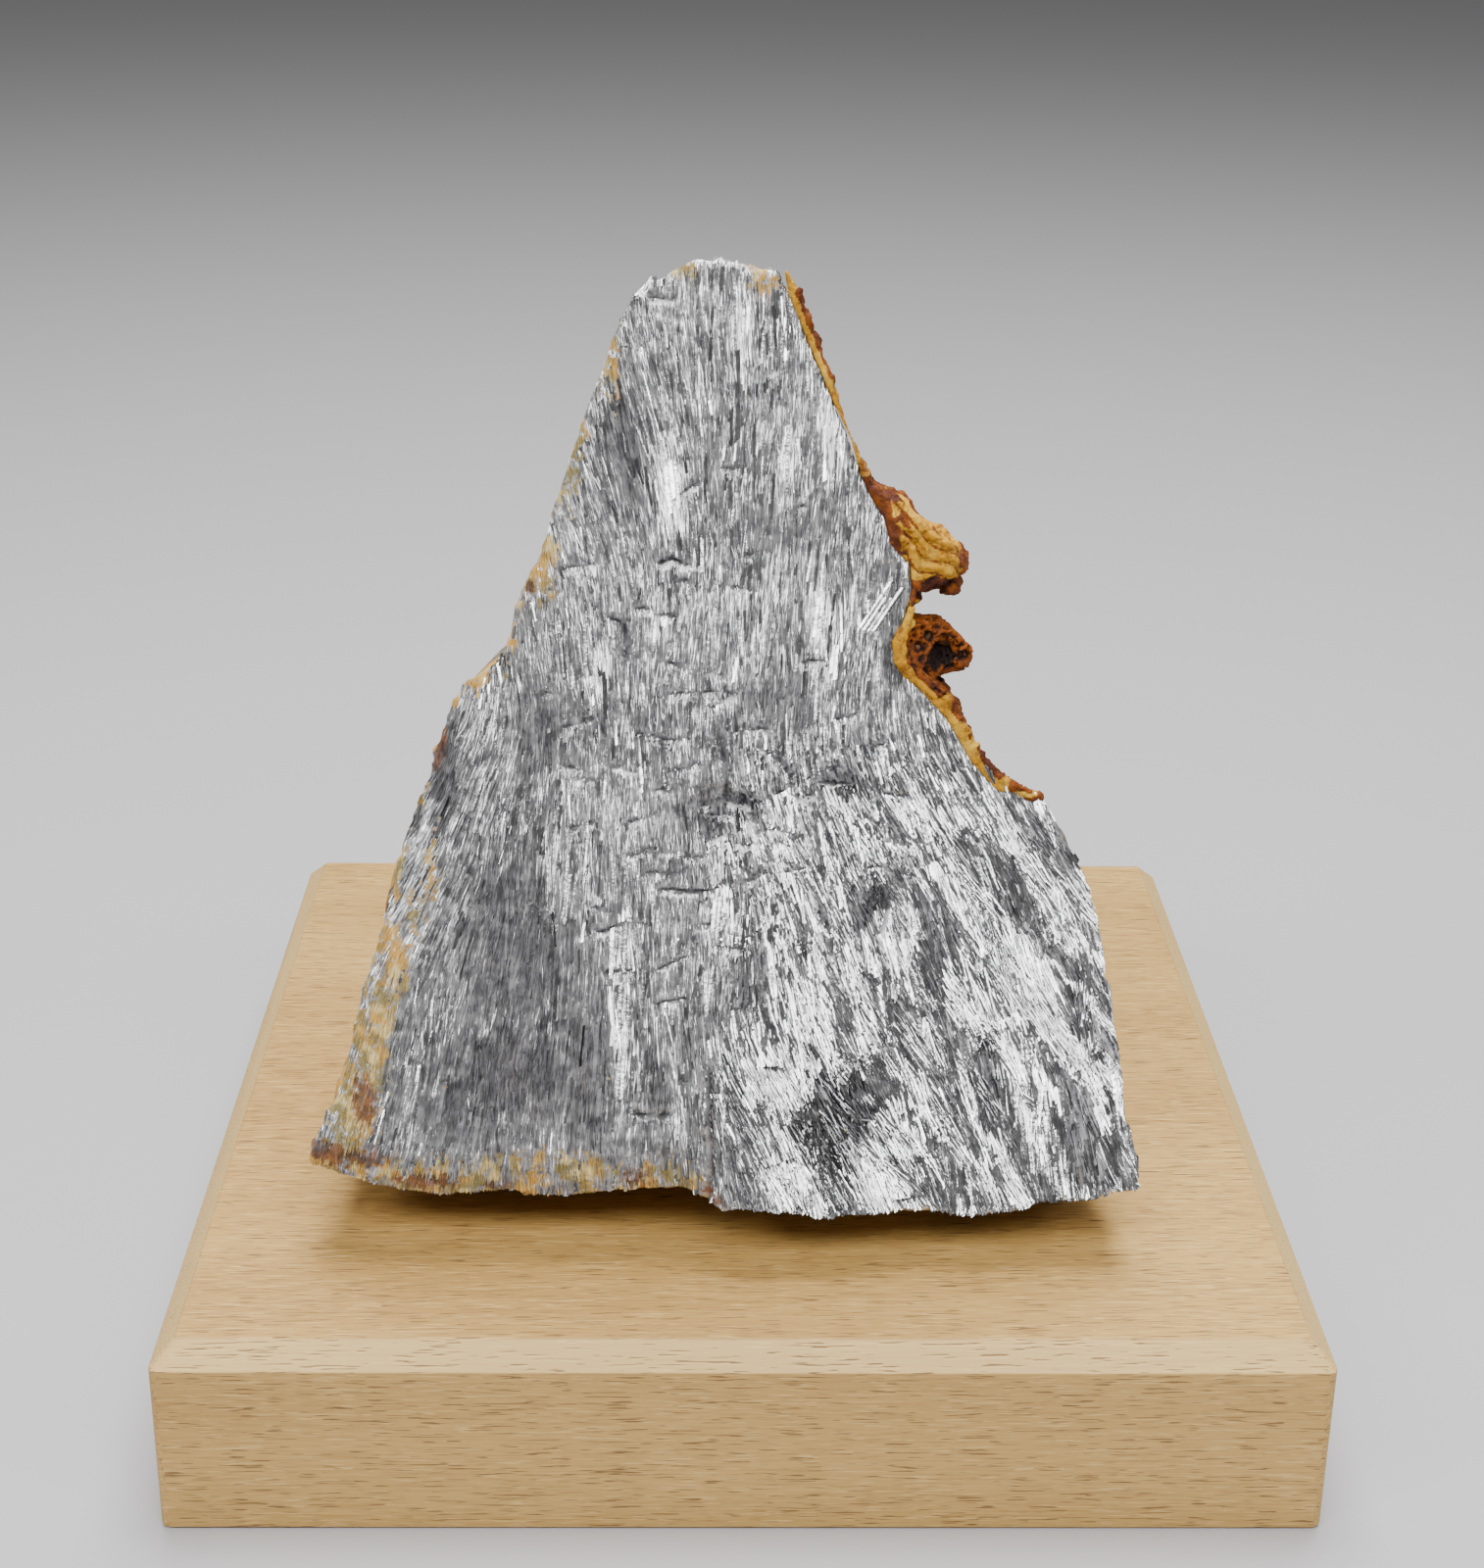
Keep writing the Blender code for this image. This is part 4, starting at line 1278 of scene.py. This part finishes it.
def wood_finish():
    look = Look("block_wood")
    bands = look.streaks(BAND_SCALES, 4)
    silk = look.streaks(SILK_SCALES, 3)
    fleck = look.streaks(FLECK_SCALES, 2).between(0.56, 0.66)
    pores = look.streaks(PORE_SCALES, 1, PORE_TURN).between(0.635, 0.69)
    # Painted highlight: a pale line just below each pore, where light catches the groove's edge.
    pore_highlight = look.streaks(PORE_SCALES, 1, PORE_TURN, (0, -HIGHLIGHT_DROP, -HIGHLIGHT_DROP)).between(0.62, 0.68)
    height = look.node("ShaderNodeSeparateXYZ", {}, [look.place()], 2)
    # Painted highlight: the chamfer band is painted paler where it faces the light.
    above = height.between(CHAMFER_FROM, CHAMFER_FROM + CHAMFER_SOFT)
    chamfer_highlight = above * (1 - height.between(CHAMFER_TO - CHAMFER_SOFT, CHAMFER_TO))
    scratch = look.streaks(SCRATCH_SCALES, 1, SCRATCH_TURN).between(0.66, 0.72)
    tint = look.blend(bands.between(0.3, 0.7), WOOD_MID, WOOD_PALE)
    tint = look.blend(silk.between(0.35, 0.75) * 0.4, tint, WOOD_DARK)
    tint = look.blend(fleck * 0.35, tint, WOOD_DARK)
    tint = look.blend(chamfer_highlight * 0.55, tint, WOOD_CHAMFER_HIGHLIGHT)
    # Pale scratches are real wear, and the pore lines in the same colour are painted highlight.
    tint = look.blend((pore_highlight + scratch).at_most(1) * 0.5, tint, WOOD_SCRATCH_AND_HIGHLIGHT)
    tint = look.blend(pores * 0.85, tint, WOOD_PORE)
    look.feed(
        Base_Color=tint,
        Roughness=0.5 + silk * 0.2,
        Normal=look.bump(silk * 0.5 - pores * 1.5, 0.6, WOOD_BUMP),
    )
    return look


wood_look = wood_finish()
print("wood finish has", len(wood_look.tree.nodes), "nodes")


# %% [markdown]
# Sawn edges are never quite sharp, and where the saw left the end grain it tore little nicks out
# of the front right corner. So the block is copied, its edges are eased, and the nicks are cut.

# %% Worn block
EASE, EASE_FROM = 0.22 * MM, math.radians(25)
NICKS = 15
NICK_FOOT, NICK_TOP = 1.4, 15.2


def nick_cutter():
    """Flat lens shapes in a column up the front right corner."""
    draw = np.random.default_rng(8)
    shape = bmesh.new()
    for up in np.linspace(NICK_FOOT, NICK_TOP, NICKS):
        size = Vector((draw.uniform(0.3, 1.3), draw.uniform(0.2, 0.5), draw.uniform(0.1, 0.24)))
        place = Vector((block_high.x / MM, block_low.y / MM, up + draw.uniform(-0.2, 0.2)))
        turn = Matrix.Rotation(draw.uniform(-0.15, 0.15), 4, "Y")
        lens = Matrix.Translation(place) @ turn @ Matrix.Diagonal((*size, 1))
        bmesh.ops.create_icosphere(shape, subdivisions=2, radius=1, matrix=lens)
    bmesh.ops.scale(shape, vec=(MM, MM, MM), verts=shape.verts)
    return link("nicks", mesh_of("nicks", shape))


cutter = nick_cutter()
worn = link("worn_block_work", welded(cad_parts[BLOCK_NODE].data))
ease = worn.modifiers.new("ease", "BEVEL")
ease.width = EASE
ease.segments = 2
ease.limit_method = "ANGLE"
ease.angle_limit = EASE_FROM
nicks = worn.modifiers.new("nicks", "BOOLEAN")
nicks.operation = "DIFFERENCE"
nicks.solver = "EXACT"
nicks.object = cutter
block = link("worn_block", evaluated_mesh(worn), wood_look)
bpy.data.objects.remove(worn)
bpy.data.objects.remove(cutter)
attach(block, "root")
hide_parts(BLOCK_NODE)
print("block", len(block.data.polygons), "faces")
